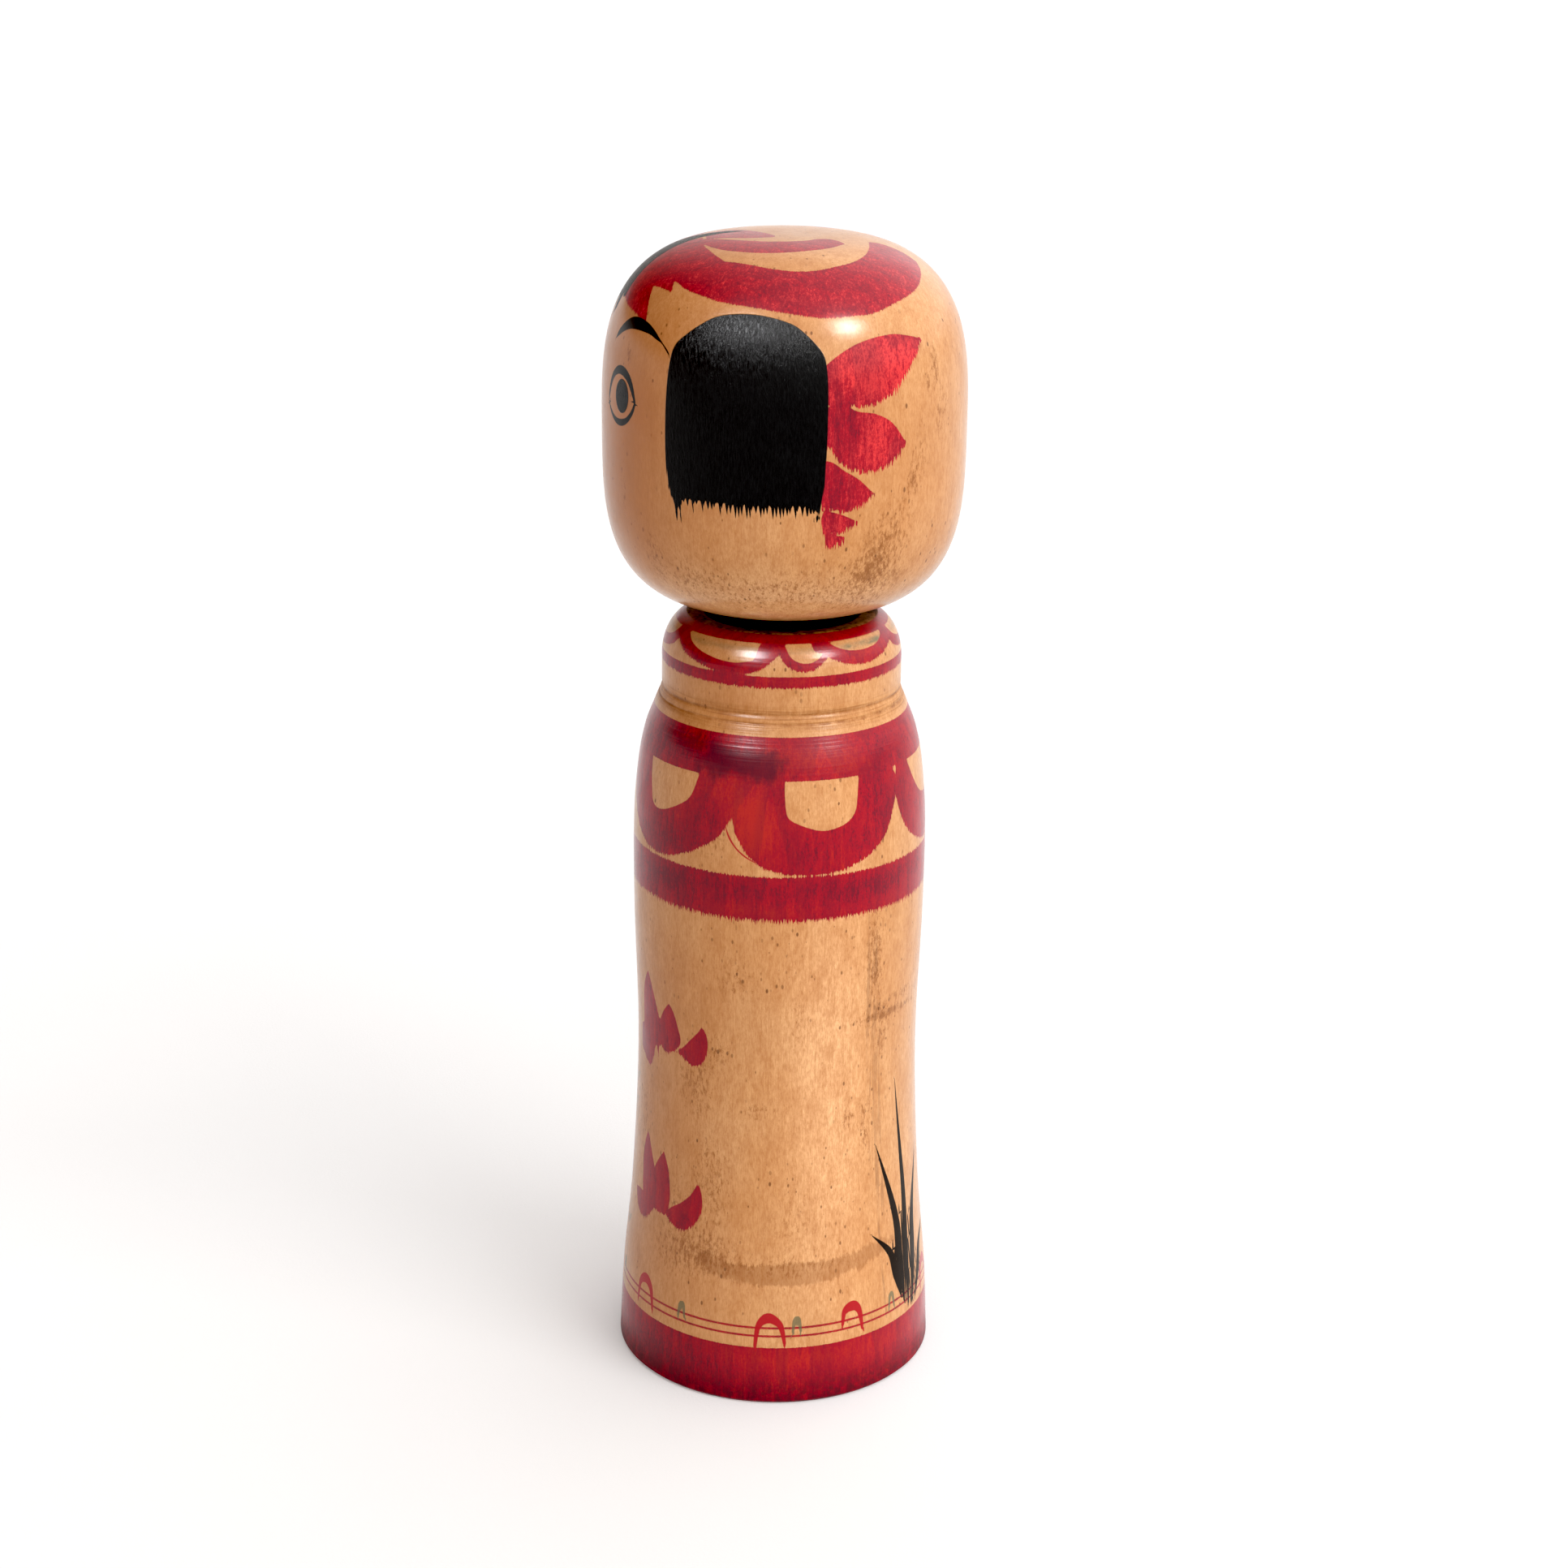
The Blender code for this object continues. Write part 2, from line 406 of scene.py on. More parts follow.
# Outlines in (angle, height), each a chain of smooth runs with a corner at the end of every run.
SIDE_HAIR = (
    (
        (54.5, 241.5), (53, 246), (51.9, 253), (51.7, 262), (52.2, 273), (53.4, 277.5), (57, 280.3),
        (62, 283), (67, 284.8), (74, 285.6), (82, 285.5), (90, 284.3), (95, 282.5), (101, 278),
        (102.7, 274), (103, 266), (102.7, 256), (101.8, 245), (100.4, 239.4)
    ),
    ((98, 241.6), (80, 241.8), (59, 242), (57.4, 241.4), (55.9, 238.6)),
)
SIDE_PETALS = (
    (
        ((103, 275), (110, 278.3), (117, 280), (125, 280.7), (131, 280.2), (137.5, 279)),
        ((133, 275), (128, 270.7), (122, 267.3), (115, 265.7), (98, 265.8)),
        ((98, 271),),
    ),
    (
        ((103, 265), (106, 268), (107.4, 268.8)),
        ((109, 265.6), (112, 263.8), (118, 262.9), (124, 260.4), (129, 255.6)),
        ((124, 251.7), (118, 250.2), (111, 250.6), (106, 253.4), (103.6, 256.3), (98, 258)),
        ((98, 262),),
    ),
    (
        ((104, 252.2), (108, 250), (112.6, 247.8), (117.6, 244.2)),
        ((113, 242), (109, 240.9), (101.8, 241.4)),
        ((98, 246),),
        ((98, 252.5),),
    ),
    (
        ((104, 240.3), (108, 239.3), (112.4, 237.6)),
        ((107, 235.8), (104.4, 235.2)),
        ((105.6, 234.6), (108.6, 233.7)),
        ((105.4, 232.3), (103.4, 232.7), (102.2, 236), (101.4, 239)),
        ((102.2, 240.6),),
    ),
)
# The same in plan, in (y, x).
CROWN_SWEEP = (
    ((-39, 8), (-38.4, 13), (-37, 18), (-33.2, 26.6)),
    ((-32.6, 23), (-31.6, 20.2)),
    ((-29.6, 23), (-27, 26.6)),
    ((-26.8, 25), (-26.2, 24.4)),
    (
        (-23.5, 28.6), (-20, 32), (-15, 35.5), (-8, 38.2), (0, 39.7), (8, 39.5), (15, 37.3), (21, 34),
        (27, 27.6), (31, 20.5), (32.2, 13), (31.3, 7.6)
    ),
    ((28, 6.3), (23, 6), (19.8, 7.6)),
    ((19.8, 13), (18.7, 19), (15.5, 24.5), (10, 28.9), (5, 31), (0, 31.2), (-6, 29.6), (-14.6, 25.2)),
    ((-17, 21), (-19, 16), (-20, 12), (-20.5, 3)),
    ((-39, 3),),
)
CROWN_LENS = (
    ((-17.5, 16), (-14, 19.8), (-8, 22.9), (-2, 23.7), (4, 22.4), (10, 19), (13.8, 14)),
    ((12.2, 12), (10, 11), (7.6, 11.6), (4.6, 14.2), (0, 15.7)),
    ((-5, 15.5), (-10, 13.6), (-15, 10.5), (-21, 6), (-21, 10)),
    ((-20, 11.5),),
)
CROWN_DAB = (((-13, -3), (-8, 1), (-4, 6.5), (-3, 10), (-6, 11), (-11, 10.4), (-20, 6.5)), ((-20, -3.5),))
FORELOCK = (
    ((-14, 1.4), (-22, 3.2), (-31, 6.6), (-38.9, 10.4)),
    ((-39.4, 8.6), (-39, 7.6)),
    ((-41, 7.6), (-42.2, 5.6)),
    ((-40.9, 4.6), (-40.4, 3.4)),
    ((-42.4, 2), (-43.4, 0)),
    ((-10, 0),),
)
# Strokes of a fine brush, as (angle, height, half width).
BROW = (
    (21.4, 276.1, 0.12), (23, 277.5, 0.7), (26, 279.2, 1.1), (30, 280.5, 1.4), (34.5, 280.8, 1.4),
    (39, 280.4, 1.15), (42.5, 279.7, 0.8), (45.5, 278.6, 0.5), (48, 277.6, 0.16), (50.5, 276.1, 0.24),
    (51.7, 275.1, 0.12)
)
UPPER_LID = (
    (20.3, 260.8, 0.2), (20.7, 263, 0.45), (22.2, 266, 0.65), (24.6, 268.2, 0.85), (27.8, 269.3, 1.05),
    (31.2, 269, 1.1), (34.2, 267.6, 0.95), (36.4, 265.2, 0.7), (38, 262.4, 0.34)
)
LOWER_LID = (
    (20.3, 260.8, 0.2), (22, 259, 0.42), (24.6, 257.5, 0.6), (27.3, 256.8, 0.78), (30, 256.8, 0.85),
    (32.6, 257.4, 0.75), (34.8, 258.6, 0.6), (36.8, 260.4, 0.5), (38, 262.4, 0.34)
)
PUPIL = (30.2, 263.2, 4.2, 4.1)  # middle, then half sizes in degrees and mm
NOSE = ((3.4, 253.4, 0.12), (4.3, 251.8, 0.38), (3.6, 250.3, 0.5), (2, 249.7, 0.4), (0.6, 250.4, 0.12))
UPPER_LIP = ((-5.6, 242.6, 0.12), (-3, 243, 0.5), (0, 242.5, 0.45), (3, 243, 0.5), (5.6, 242.6, 0.12))
LOWER_LIP = (((0, 241.9), (4, 241.6)), ((2.6, 239.9), (0, 239.3), (-2.6, 239.9), (-4, 241.6)))

# Soft spots, as (angle, height, half arc, half height, strength).
HEAD_STAINS = (
    (32.5, 273.5, 1.2, 2.4, 1.1), (31, 240, 1, 7, 0.5), (44, 226, 3, 6, 0.6), (60, 221, 9, 5, 0.6),
    (84, 219, 12, 4, 0.35), (102, 221, 16, 5, 0.4), (122, 228, 5, 8, 0.9), (117, 224, 5, 5, 0.7),
    (128, 236, 4, 7, 0.6), (143, 273, 1.4, 3.6, 1.1), (139, 269, 1.2, 2, 0.8), (146, 262, 3, 8, 0.45),
    (133, 247, 1.6, 4, 0.8), (136, 252, 3, 8, 0.4), (117, 216, 10, 3, 0.4), (-100, 221, 20, 6, 0.5),
    (-124, 230, 6, 9, 0.8), (-150, 232, 8, 10, 0.4), (180, 219, 14, 6, 0.4), (10, 221, 12, 6, 0.3),
    (-28, 228, 5, 8, 0.4)
)
# Painted shade and light, partly a patina: warm darker wood, mostly on the side away from the windows, and
# paler wood where the strength is below 0, under the chin where light comes up from the floor.
HEAD_PATINA_AND_SHADING = (
    (18, 250, 34, 60, 0.75),
    (138, 250, 22, 30, 0.22),
    (40, 262, 10, 12, 0.2),
    (80, 214, 40, 8, -0.5),
)
HEAD_TONES = (
    (121, 273, 16, 9, -1), (119, 256, 9, 7, -0.7), (110, 262, 4, 6, 0.9), (108, 245, 6, 5, 0.3),
    (105, 235, 5, 5, -0.6), (-121, 273, 16, 9, -0.9), (-119, 256, 9, 7, -0.6), (-106, 246, 6, 6, 0.4)
)
HEAD_TAN = (
    (120, 230, 4, 10, 0.5), (128, 223, 8, 5, 0.45), (143, 271, 2.5, 7, 0.4), (132, 247, 2.5, 6, 0.35),
    (-122, 228, 8, 8, 0.45), (-60, 221, 14, 3, 0.3), (12, 224, 8, 4, 0.3)
)


def ellipse(angle, height, across, up, steps=40):
    turn = np.linspace(0.0, 2.0 * math.pi, steps, endpoint=False)
    return pairs(angle + across * np.cos(turn), height + up * np.sin(turn))


def paint_head(piece):
    surface = Surface(piece)
    red, black, ink = Dye(surface), Dye(surface), Ink(surface)
    for runs in SIDE_PETALS:
        red.both_sides(joined(*runs), HEAD_ARC, *SIDE_PETAL_FRAY)
    for runs in (CROWN_SWEEP, CROWN_LENS):
        stroke = joined(*runs)
        red.plan(stroke)
        red.plan(mirrored(stroke, 1))
    red.plan(joined(*CROWN_DAB))
    red.area(joined(*LOWER_LIP), HEAD_ARC)
    black.both_sides(joined(*SIDE_HAIR), HEAD_ARC, *HAIR_FRAY)
    lock = joined(*FORELOCK)
    black.plan(np.vstack([lock, mirrored(lock, 1)[::-1]]))
    black.both_sides(ellipse(*PUPIL), HEAD_ARC, *PUPIL_FRAY)
    for side in (1.0, -1.0):
        for line in (BROW, UPPER_LID, LOWER_LID, NOSE):
            ink.stroke(np.array(line) * (side, 1.0, 1.0), HEAD_ARC)
    ink.stroke(UPPER_LIP, HEAD_ARC)
    red.keep("red")
    black.keep("black")
    ink.keep("ink")
    surface.keep_spots({"stain": HEAD_STAINS, "tan": HEAD_TAN, "patina_and_shading": HEAD_PATINA_AND_SHADING}, HEAD_ARC)
    surface.keep_spots({"dye_tone": HEAD_TONES, "overlap": ()}, HEAD_ARC)


# ---------------------------------------------------------------------------------------------------
# What is painted on the body.

CHEST_ARC = math.radians(37.3)
COLLAR_ARC = math.radians(30.0)
WAIST_ARC = math.radians(37.5)
BASE_ARC = math.radians(41.3)
CHEST_FRAY, COLLAR_FRAY, HIDDEN_COLLAR_FRAY = (1.1, 0.14), (0.7, 0.1), (0.35, 0.1)
PETAL_FRAY, MIDDLE_FRAY, LEAF_FRAY = (1.2, 0.15), (0.9, 0.12), (0.4, 0.2)

DYED_FROM = 23.0  # no dye nearer the axis than this: it stops at the mouth
# Bands turned on the lathe: lowest and highest edge, how far the lower edge bleeds, and roughness.
BANDS = (
    (-5, 16.1, 0, 0.25), (135.2, 145.8, 1.3, 0.9), (170.6, 180.8, 0.1, 0.12), (193.2, 195.6, 0.8, 0.25),
    (203.2, 205.6, 0.05, 0.1)
)
CHEST_SCALLOPS = (
    (
        (
            (54.6, 167), (52, 163.6), (46, 160.9), (39, 158.8), (34, 158.4), (30.6, 159.6), (29, 162.5),
            (27.2, 167), (26.2, 170.5)
        ),
        ((24.5, 173.5), (20, 175.6), (13, 176.6), (5, 175), (4, 170), (6, 161.8)),
        (
            (9.5, 157.8), (14.5, 154), (20, 150.6), (27, 148.2), (35, 147.3), (43, 147.9), (51, 149.6),
            (59, 152.4), (66, 155.8), (71.5, 161.2)
        ),
        ((73.3, 166), (74.8, 171), (73, 176), (67, 177.2), (61.5, 175.6), (58, 172.4), (56.2, 170.5)),
    ),
    (
        (
            (121.9, 166), (120.5, 161.7), (116, 159), (108, 157.8), (101, 158.8), (94.2, 160.9),
            (92.5, 163), (91.9, 167), (91.8, 170.6)
        ),
        ((91, 173.4), (88, 176.2), (82, 177.3), (76, 176.6), (74.8, 171), (73.3, 166), (71.5, 161.2)),
        (
            (73, 157.5), (76, 153.8), (80, 150.7), (86, 148.4), (95, 147.2), (105, 146.8), (114, 147.4),
            (122, 149), (130, 151.6), (136, 155.4), (142, 163.6)
        ),
        (
            (142.6, 167.6), (141.9, 169.4), (141.6, 171.6), (139, 174.6), (134, 176.2), (127, 174.8),
            (123, 170.6)
        ),
    ),
    (
        ((189, 164), (183, 159.6), (175, 158.6), (165, 160), (160, 162.5), (156, 166), (152.5, 170.6)),
        ((151, 173), (147, 173.6), (144.6, 172), (143.7, 169.6), (142.9, 167.6), (142, 163.6)),
        (
            (145, 157.5), (150, 153), (156, 150), (163, 148.1), (173, 147.3), (184, 148.4),
            (195, 151.6), (202, 155.6), (207, 161.6)
        ),
        ((211, 168), (211, 173), (206, 176.4), (198, 176), (193, 170.6)),
    ),
)
# The scallops on the far side: where each starts and ends, and its shape, as the function below takes it.
CHEST_HIDDEN = ((207, 286.5), (286.5, 366))
CHEST_HIDDEN_SHAPE = (162.0, 147.3, 170.6, 158.6, 20.0)
COLLAR_SCALLOPS = (
    (
        ((78.6, 202.6), (77.4, 200.6), (76.4, 199.3)),
        ((68, 198.5), (60, 198.6), (52, 199.2), (45, 200), (38, 201.3), (31, 203.6)),
        ((24, 203.4), (27, 200.9)),
        (
            (35, 198.8), (42, 197.7), (50, 196.8), (58, 196.1), (66, 195.9), (74, 196.4), (80, 197.5),
            (84.5, 199.2), (89, 201.3)
        ),
        ((91, 203), (91, 204), (80, 204), (80, 203.6)),
    ),
    (
        ((108, 199.7), (104, 198.9), (100, 198.9), (96, 199.7), (93.5, 201), (91, 203.6)),
        ((87, 204), (86, 202.6), (89, 201)),
        ((92, 198.9), (95, 197.8), (99, 197.2), (104, 197.3), (108, 198.2), (113.5, 200.4)),
        ((115, 202), (113, 203.6), (106, 203.8), (107, 201.6), (111.5, 201.2)),
    ),
    (
        (
            (152, 202.2), (145, 200.9), (138, 200.5), (131, 200.5), (124, 201), (118, 202.1),
            (113, 203.8)
        ),
        ((108, 203.8), (109, 201.8), (113.5, 200.2)),
        ((118, 199), (124, 198), (131, 197.5), (138, 197.5), (145, 198.2), (151, 199.1), (158, 200.4)),
        ((160, 202.4), (160, 203.8), (154.5, 203.6)),
    ),
)
COLLAR_HIDDEN = ((158, 211), (211, 259), (259, 321), (321, 387))
COLLAR_HIDDEN_SHAPE = (200.8, 197.0, 203.0, 199.2, 5.0)
SCALLOP_ROUNDNESS = 2.2  # 2 would make half an ellipse

# The right half of the two chrysanthemums on the front: each petal's outline.
UPPER_FLOWER = (
    (
        ((28.6, 109.8), (31, 106.4), (33, 103.4), (35.4, 99.6)),
        ((35, 95), (33.2, 90)),
        ((32.6, 93), (31, 92)),
        ((29.4, 88.6), (26.5, 85.9), (21, 87.8), (17.2, 89)),
        ((16.6, 92), (17.4, 95.4)),
        ((20, 96.2), (20.4, 99.6), (20.8, 104), (22.6, 108.4), (26.4, 112.3)),
    ),
    (
        ((38.4, 103.9), (35.6, 100.6)),
        ((34.6, 97), (35.6, 94)),
        ((38.6, 92.7), (42.6, 93.3), (46.2, 95), (48, 97.5), (46.4, 101), (44.4, 104.2), (41.8, 106.4)),
    ),
    (
        ((57.4, 101.3), (53.6, 98.6), (50, 96), (46.4, 94.1)),
        ((50, 92.9), (54.6, 91.7), (58.6, 93), (61.2, 96.2), (61.4, 100), (59.2, 103.2)),
    ),
)
LOWER_FLOWER = (
    (
        ((29, 64), (31.2, 60.8), (33.2, 58)),
        ((34.8, 52), (34.2, 46.6)),
        ((30.4, 43.6), (26.5, 42.2), (22, 43), (19, 45), (17.4, 48)),
        ((22, 48.6), (24.6, 48.4)),
        ((24, 53), (23.2, 58), (24.4, 63), (26.8, 66.8)),
    ),
    (
        ((36.2, 61.2), (33.4, 58)),
        ((33, 52), (34, 47)),
        ((38, 46.8), (42.4, 47.4), (43.8, 50), (44, 54), (42.6, 59.4), (39.4, 64)),
    ),
    (
        ((57, 57.4), (54.6, 54.8), (50, 51.8), (46, 49.9), (41.8, 47.5)),
        ((46, 45.6), (50.6, 44.8), (55.4, 46.4), (58.6, 49), (60.4, 52.6), (60, 56.2), (58.2, 59.3)),
    ),
)
# The upright petal in the middle of each flower, above the flower's foot.
FLOWER_MIDDLE = (((-5.4, 12), (0, 24)), ((5.4, 12), (3.4, 3)), ((0, 0), (-3.4, 3)))
FLOWER_FEET = (90.0, 46.0)
LEAVES = (  # the upper edge of each, from stem to tip
    ((0, 85), (4, 80.6), (8.6, 78.8), (13.4, 80)),
    ((0, 77), (3.6, 73), (7.8, 71.6), (12, 72.6)),
    ((0, 41.5), (4, 37.8), (8.4, 36.6), (13, 38)),
)
STEM = ((0, 90, 0.3), (0.4, 80, 0.5), (-0.4, 72, 0.4), (0, 66, 0.2))

# Arches above the base: angle of the left foot, the apex and the right foot, and their heights.
RED_ARCHES = (
    (28.6, 18.7, 33.5, 27.2, 38.6, 18.4), (83.4, 16.2, 88.4, 25.9, 94.2, 17.2),
    (116.2, 20.6, 120.4, 26.8, 124.6, 18.2), (164, 18.5, 169, 26.8, 174, 17.6),
    (212, 17, 217, 26.2, 222.4, 17.8), (258, 19, 262.6, 27.2, 267.6, 18),
    (306, 17, 311, 26.4, 316, 17.4), (344, 18.4, 349, 27, 354, 18)
)
GREEN_ARCH = ((-1.5, 20.4, 0.3), (-0.7, 24, 0.55), (0.7, 24.2, 0.55), (1.5, 20.6, 0.3))
GREEN_ARCHES = (53.8, 98.6, 139.6, 192, 240, 286, 328, 11)
BLACK_INK, RED_INK, GREEN_INK = 0.0, 1.0, 2.0
LOOSE_LINE = (
    (69, 158.4, 0.1), (70.6, 155.8, 0.24), (73.4, 153.2, 0.2), (76.8, 151.3, 0.2), (80.6, 149.9, 0.1)
)
GREY_LINES = (
    ((127, 134, 0.3), (128.2, 112, 0.5), (129.6, 84, 0.35), (131, 56, 0.3)),
    ((131, 128, 0.35), (132.6, 98, 0.7), (134.2, 66, 0.6), (135, 40, 0.4), (136.5, 19, 0.3)),
    ((134.6, 110, 0.2), (136.4, 78, 0.4), (138, 46, 0.25)),
)
# Blades of grass on the back: the foot, a point on the way, the tip, and the greatest half width.
GRASS = (
    (148, 20, 145, 46, 134, 68, 1.5), (151, 18, 152, 52, 146.5, 84, 1.3),
    (154, 18, 160, 44, 168, 60, 1.5), (146, 22, 140.5, 36, 131, 43, 1.2),
    (157, 18, 166, 32, 176, 36, 1.2)
)
BODY_TAN = (
    (84, 36.4, 12, 2.7, 0.9), (100, 36.6, 9, 2.9, 1), (118, 37.6, 10, 2.6, 0.8),
    (134, 39.4, 7, 2.3, 0.6), (64, 39, 4, 3.4, 0.55), (140, 104.5, 12, 1.6, 0.6),
    (148, 108.6, 8, 1.4, 0.5), (132, 118, 2, 8, 0.5), (-60, 36, 24, 3.4, 0.9), (-110, 60, 6, 10, 0.4)
)
# Painted shade and light, partly a patina: warm darker wood, mostly on the side away from the windows, and
# paler wood where the strength is below 0, on the side towards the windows.
BODY_PATINA_AND_SHADING = (
    (20, 190, 30, 30, 0.15), (30, 90, 20, 60, 0.3), (45, 30, 22, 20, 0.2), (112, 86, 11, 60, -0.75),
    (72, 190, 12, 5, 0.25)
)
BODY_STAINS = (
    (62, 41, 7, 5, 0.9), (52, 37, 9, 5, 0.5), (56, 88, 5, 9, 0.7), (66, 97, 3, 4, 0.6),
    (64, 60, 5, 12, 0.6), (46, 48, 5, 10, 0.5), (74, 118, 6, 6, 0.35), (90, 38.5, 22, 2.4, 0.5),
    (140, 104.5, 14, 1.6, 0.7), (148, 108, 8, 1.2, 0.5), (131, 121, 2.4, 12, 1), (137, 100, 2, 8, 0.7),
    (120, 78, 2, 3, 0.8), (128, 74, 1.6, 8, 0.8), (98, 108, 2, 8, 0.3), (98, 52, 8, 14, 0.2),
    (84, 82, 8, 3, 0.3), (128, 160, 3, 6, 0.4), (64, 153, 5, 4, 0.3), (-70, 36, 30, 5, 0.6),
    (-130, 70, 10, 20, 0.5), (180, 110, 12, 14, 0.5), (20, 70, 8, 20, 0.3)
)
# Where two layers of the red dye cross, and how dark that makes them.
OVERLAPS = (
    (66, 175.4, 8, 4.6, 0.85), (84.5, 175, 8, 4.4, 0.85), (60, 171, 5, 5, 0.5), (36, 174, 8, 6, 0.3),
    (84, 171, 5, 4, 0.5), (132, 173, 6, 4, 0.35), (250, 173, 13, 6, 0.7), (330, 173, 13, 6, 0.6)
)
DYE_TONES = (
    (79, 161, 5, 8, -1.5), (66, 168, 4, 5, -0.8), (86, 156, 5, 5, -0.5), (131, 163, 5, 10, 0.5),
    (142, 160, 6, 10, 0.4), (118, 174, 9, 4, -0.5), (98, 152, 6, 3, 0.5), (64, 163, 4, 6, 0.5),
    (40, 152, 12, 5, 0.9), (30, 176, 10, 5, 0.8), (50, 177, 11, 3.5, 1), (136, 199, 7, 2, -0.9),
    (96, 194.5, 8, 1.5, -0.6), (30, 195, 14, 6, 0.5), (98, 176, 10, 2.4, -0.8), (40, 141, 12, 5, 0.8),
    (130, 141, 9, 3, 0.6), (84, 137, 12, 1.6, -0.6), (90, 142, 60, 3, 0.5), (96, 13, 14, 3, -1),
    (130, 12, 12, 4, -0.6), (44, 8, 16, 8, 0.8), (250, 160, 8, 8, -0.8), (300, 165, 6, 8, 0.6)
)


def scallop(first, last, top, foot, window_top, window_foot, thickness):
    """A U-shaped brush stroke hung between two angles."""
    middle, half = (first + last) / 2.0, (last - first) / 2.0
    turn = np.linspace(-1.0, 1.0, 25)
    sag = np.sqrt(np.maximum(1.0 - np.abs(turn) ** SCALLOP_ROUNDNESS, 0.0))
    outer = pairs(middle + half * turn, top - (top - foot) * sag)
    inner = pairs(middle + (half - thickness) * turn, window_top - (window_top - window_foot) * sag)
    lift = window_top + 4.0  # both ends run up under the band above
    right_end = [(last + 1.5, lift), (last - thickness * 0.7, lift)]
    left_end = [(first + thickness * 0.7, lift), (first - 1.5, lift)]
    return np.vstack([outer, right_end, inner[::-1], left_end])


def leaf_shape(edge):
    """A leaf from its upper edge: the lower one hangs below it, most half way to the tip."""
    tip = edge[-1][0]
    back = [(angle, height - 2.6 * math.sin(math.pi * angle / tip) - 0.4) for angle, height in edge[::-1]]
    return np.vstack([smooth_curve(edge)[:-1], smooth_curve(back)[:-1]])


def arch(left, left_foot, apex, top, right, right_foot):
    """An arch drawn in one stroke, pressed hardest at its top."""
    return (
        (left, left_foot, 0.4),
        (left + 0.2 * (apex - left), left_foot + 0.6 * (top - left_foot), 0.75),
        (apex - 1.3, top - 1.5, 1.35),
        (apex + 1.1, top - 1.5, 1.3),
        (right - 0.25 * (right - apex), right_foot + 0.58 * (top - right_foot), 0.8),
        (right, right_foot, 0.4),
    )


def blade(foot_angle, foot, angle, height, tip_angle, tip, half):
    """A blade of grass, broadest low down."""
    return (
        (foot_angle, foot, 0.25 * half),
        ((foot_angle + angle) / 2.0, (foot + height) / 2.0, half),
        (angle, height, 0.85 * half),
        (tip_angle, tip, 0.08),
    )


def paint_body(piece):
    surface = Surface(piece)
    red, green, ink, grey = Dye(surface), Dye(surface), Ink(surface), Ink(surface)
    for band in BANDS:
        red.band(*band)
    for runs in CHEST_SCALLOPS:
        red.area(joined(*runs), CHEST_ARC, *CHEST_FRAY)
    for ends in CHEST_HIDDEN:
        red.area(scallop(*ends, *CHEST_HIDDEN_SHAPE), CHEST_ARC, *CHEST_FRAY)
    for runs in COLLAR_SCALLOPS:
        red.area(joined(*runs), COLLAR_ARC, *COLLAR_FRAY)
    for ends in COLLAR_HIDDEN:
        red.area(scallop(*ends, *COLLAR_HIDDEN_SHAPE), COLLAR_ARC, *HIDDEN_COLLAR_FRAY)
    for flower, foot in zip((UPPER_FLOWER, LOWER_FLOWER), FLOWER_FEET):
        for runs in flower:
            red.both_sides(joined(*runs), WAIST_ARC, *PETAL_FRAY)
        red.area(joined(*FLOWER_MIDDLE) + (0.0, foot), WAIST_ARC, *MIDDLE_FRAY)
    for leaf in LEAVES:
        green.both_sides(leaf_shape(leaf), WAIST_ARC, *LEAF_FRAY)
    ink.stroke(STEM, WAIST_ARC, GREEN_INK)
    for spread in RED_ARCHES:
        ink.stroke(arch(*spread), BASE_ARC, RED_INK)
    for angle in GREEN_ARCHES:
        ink.stroke(np.array(GREEN_ARCH) + (angle, 0.0, 0.0), BASE_ARC, GREEN_INK)
    ink.stroke(LOOSE_LINE, CHEST_ARC, RED_INK)
    for line in GREY_LINES:
        grey.stroke(line, WAIST_ARC)
    for points in GRASS:
        ink.stroke(blade(*points), WAIST_ARC, BLACK_INK)
    inner = surface.radius <= DYED_FROM
    red.edge[inner] = np.maximum(red.edge[inner], DYED_FROM - surface.radius[inner])
    red.keep("red")
    green.keep("green")
    ink.keep("ink")
    grey.keep("grey")
    surface.keep_spots({"stain": BODY_STAINS, "tan": BODY_TAN, "patina_and_shading": BODY_PATINA_AND_SHADING}, WAIST_ARC)
    surface.keep_spots({"dye_tone": DYE_TONES, "overlap": OVERLAPS}, CHEST_ARC)


# ---------------------------------------------------------------------------------------------------
# Materials.


def linear(red, green, blue):
    """A colour given as eight-bit sRGB values, for a shader socket."""
    def one(value):
        value /= 255.0
        return value / 12.92 if value <= 0.04045 else ((value + 0.055) / 1.055) ** 2.4

    return (one(red), one(green), one(blue), 1.0)


WOOD = linear(195, 146, 99)
WOOD_PALE = linear(203, 158, 113)
WOOD_DARK = linear(160, 104, 58)
# Painted shade, partly a patina, and painted light on the wood.
WOOD_PATINA_AND_SHADE = linear(156, 84, 24)
WOOD_PAINTED_LIGHT = linear(232, 186, 142)
WOOD_STAIN = linear(126, 76, 36)
FLECK = linear(92, 52, 26)
PETAL_THIN = linear(200, 58, 60)
RED_THIN = linear(166, 38, 34)
RED_MAIN = linear(148, 16, 38)
RED_DEEP = linear(104, 20, 40)
RED_DOUBLE = linear(70, 18, 38)
RED_INKED = linear(158, 22, 34)
LIP_WOOD = linear(160, 116, 80)
SCUFFED = linear(80, 26, 36)
BLACK = linear(4, 4, 5)
SOOT = linear(30, 30, 32)
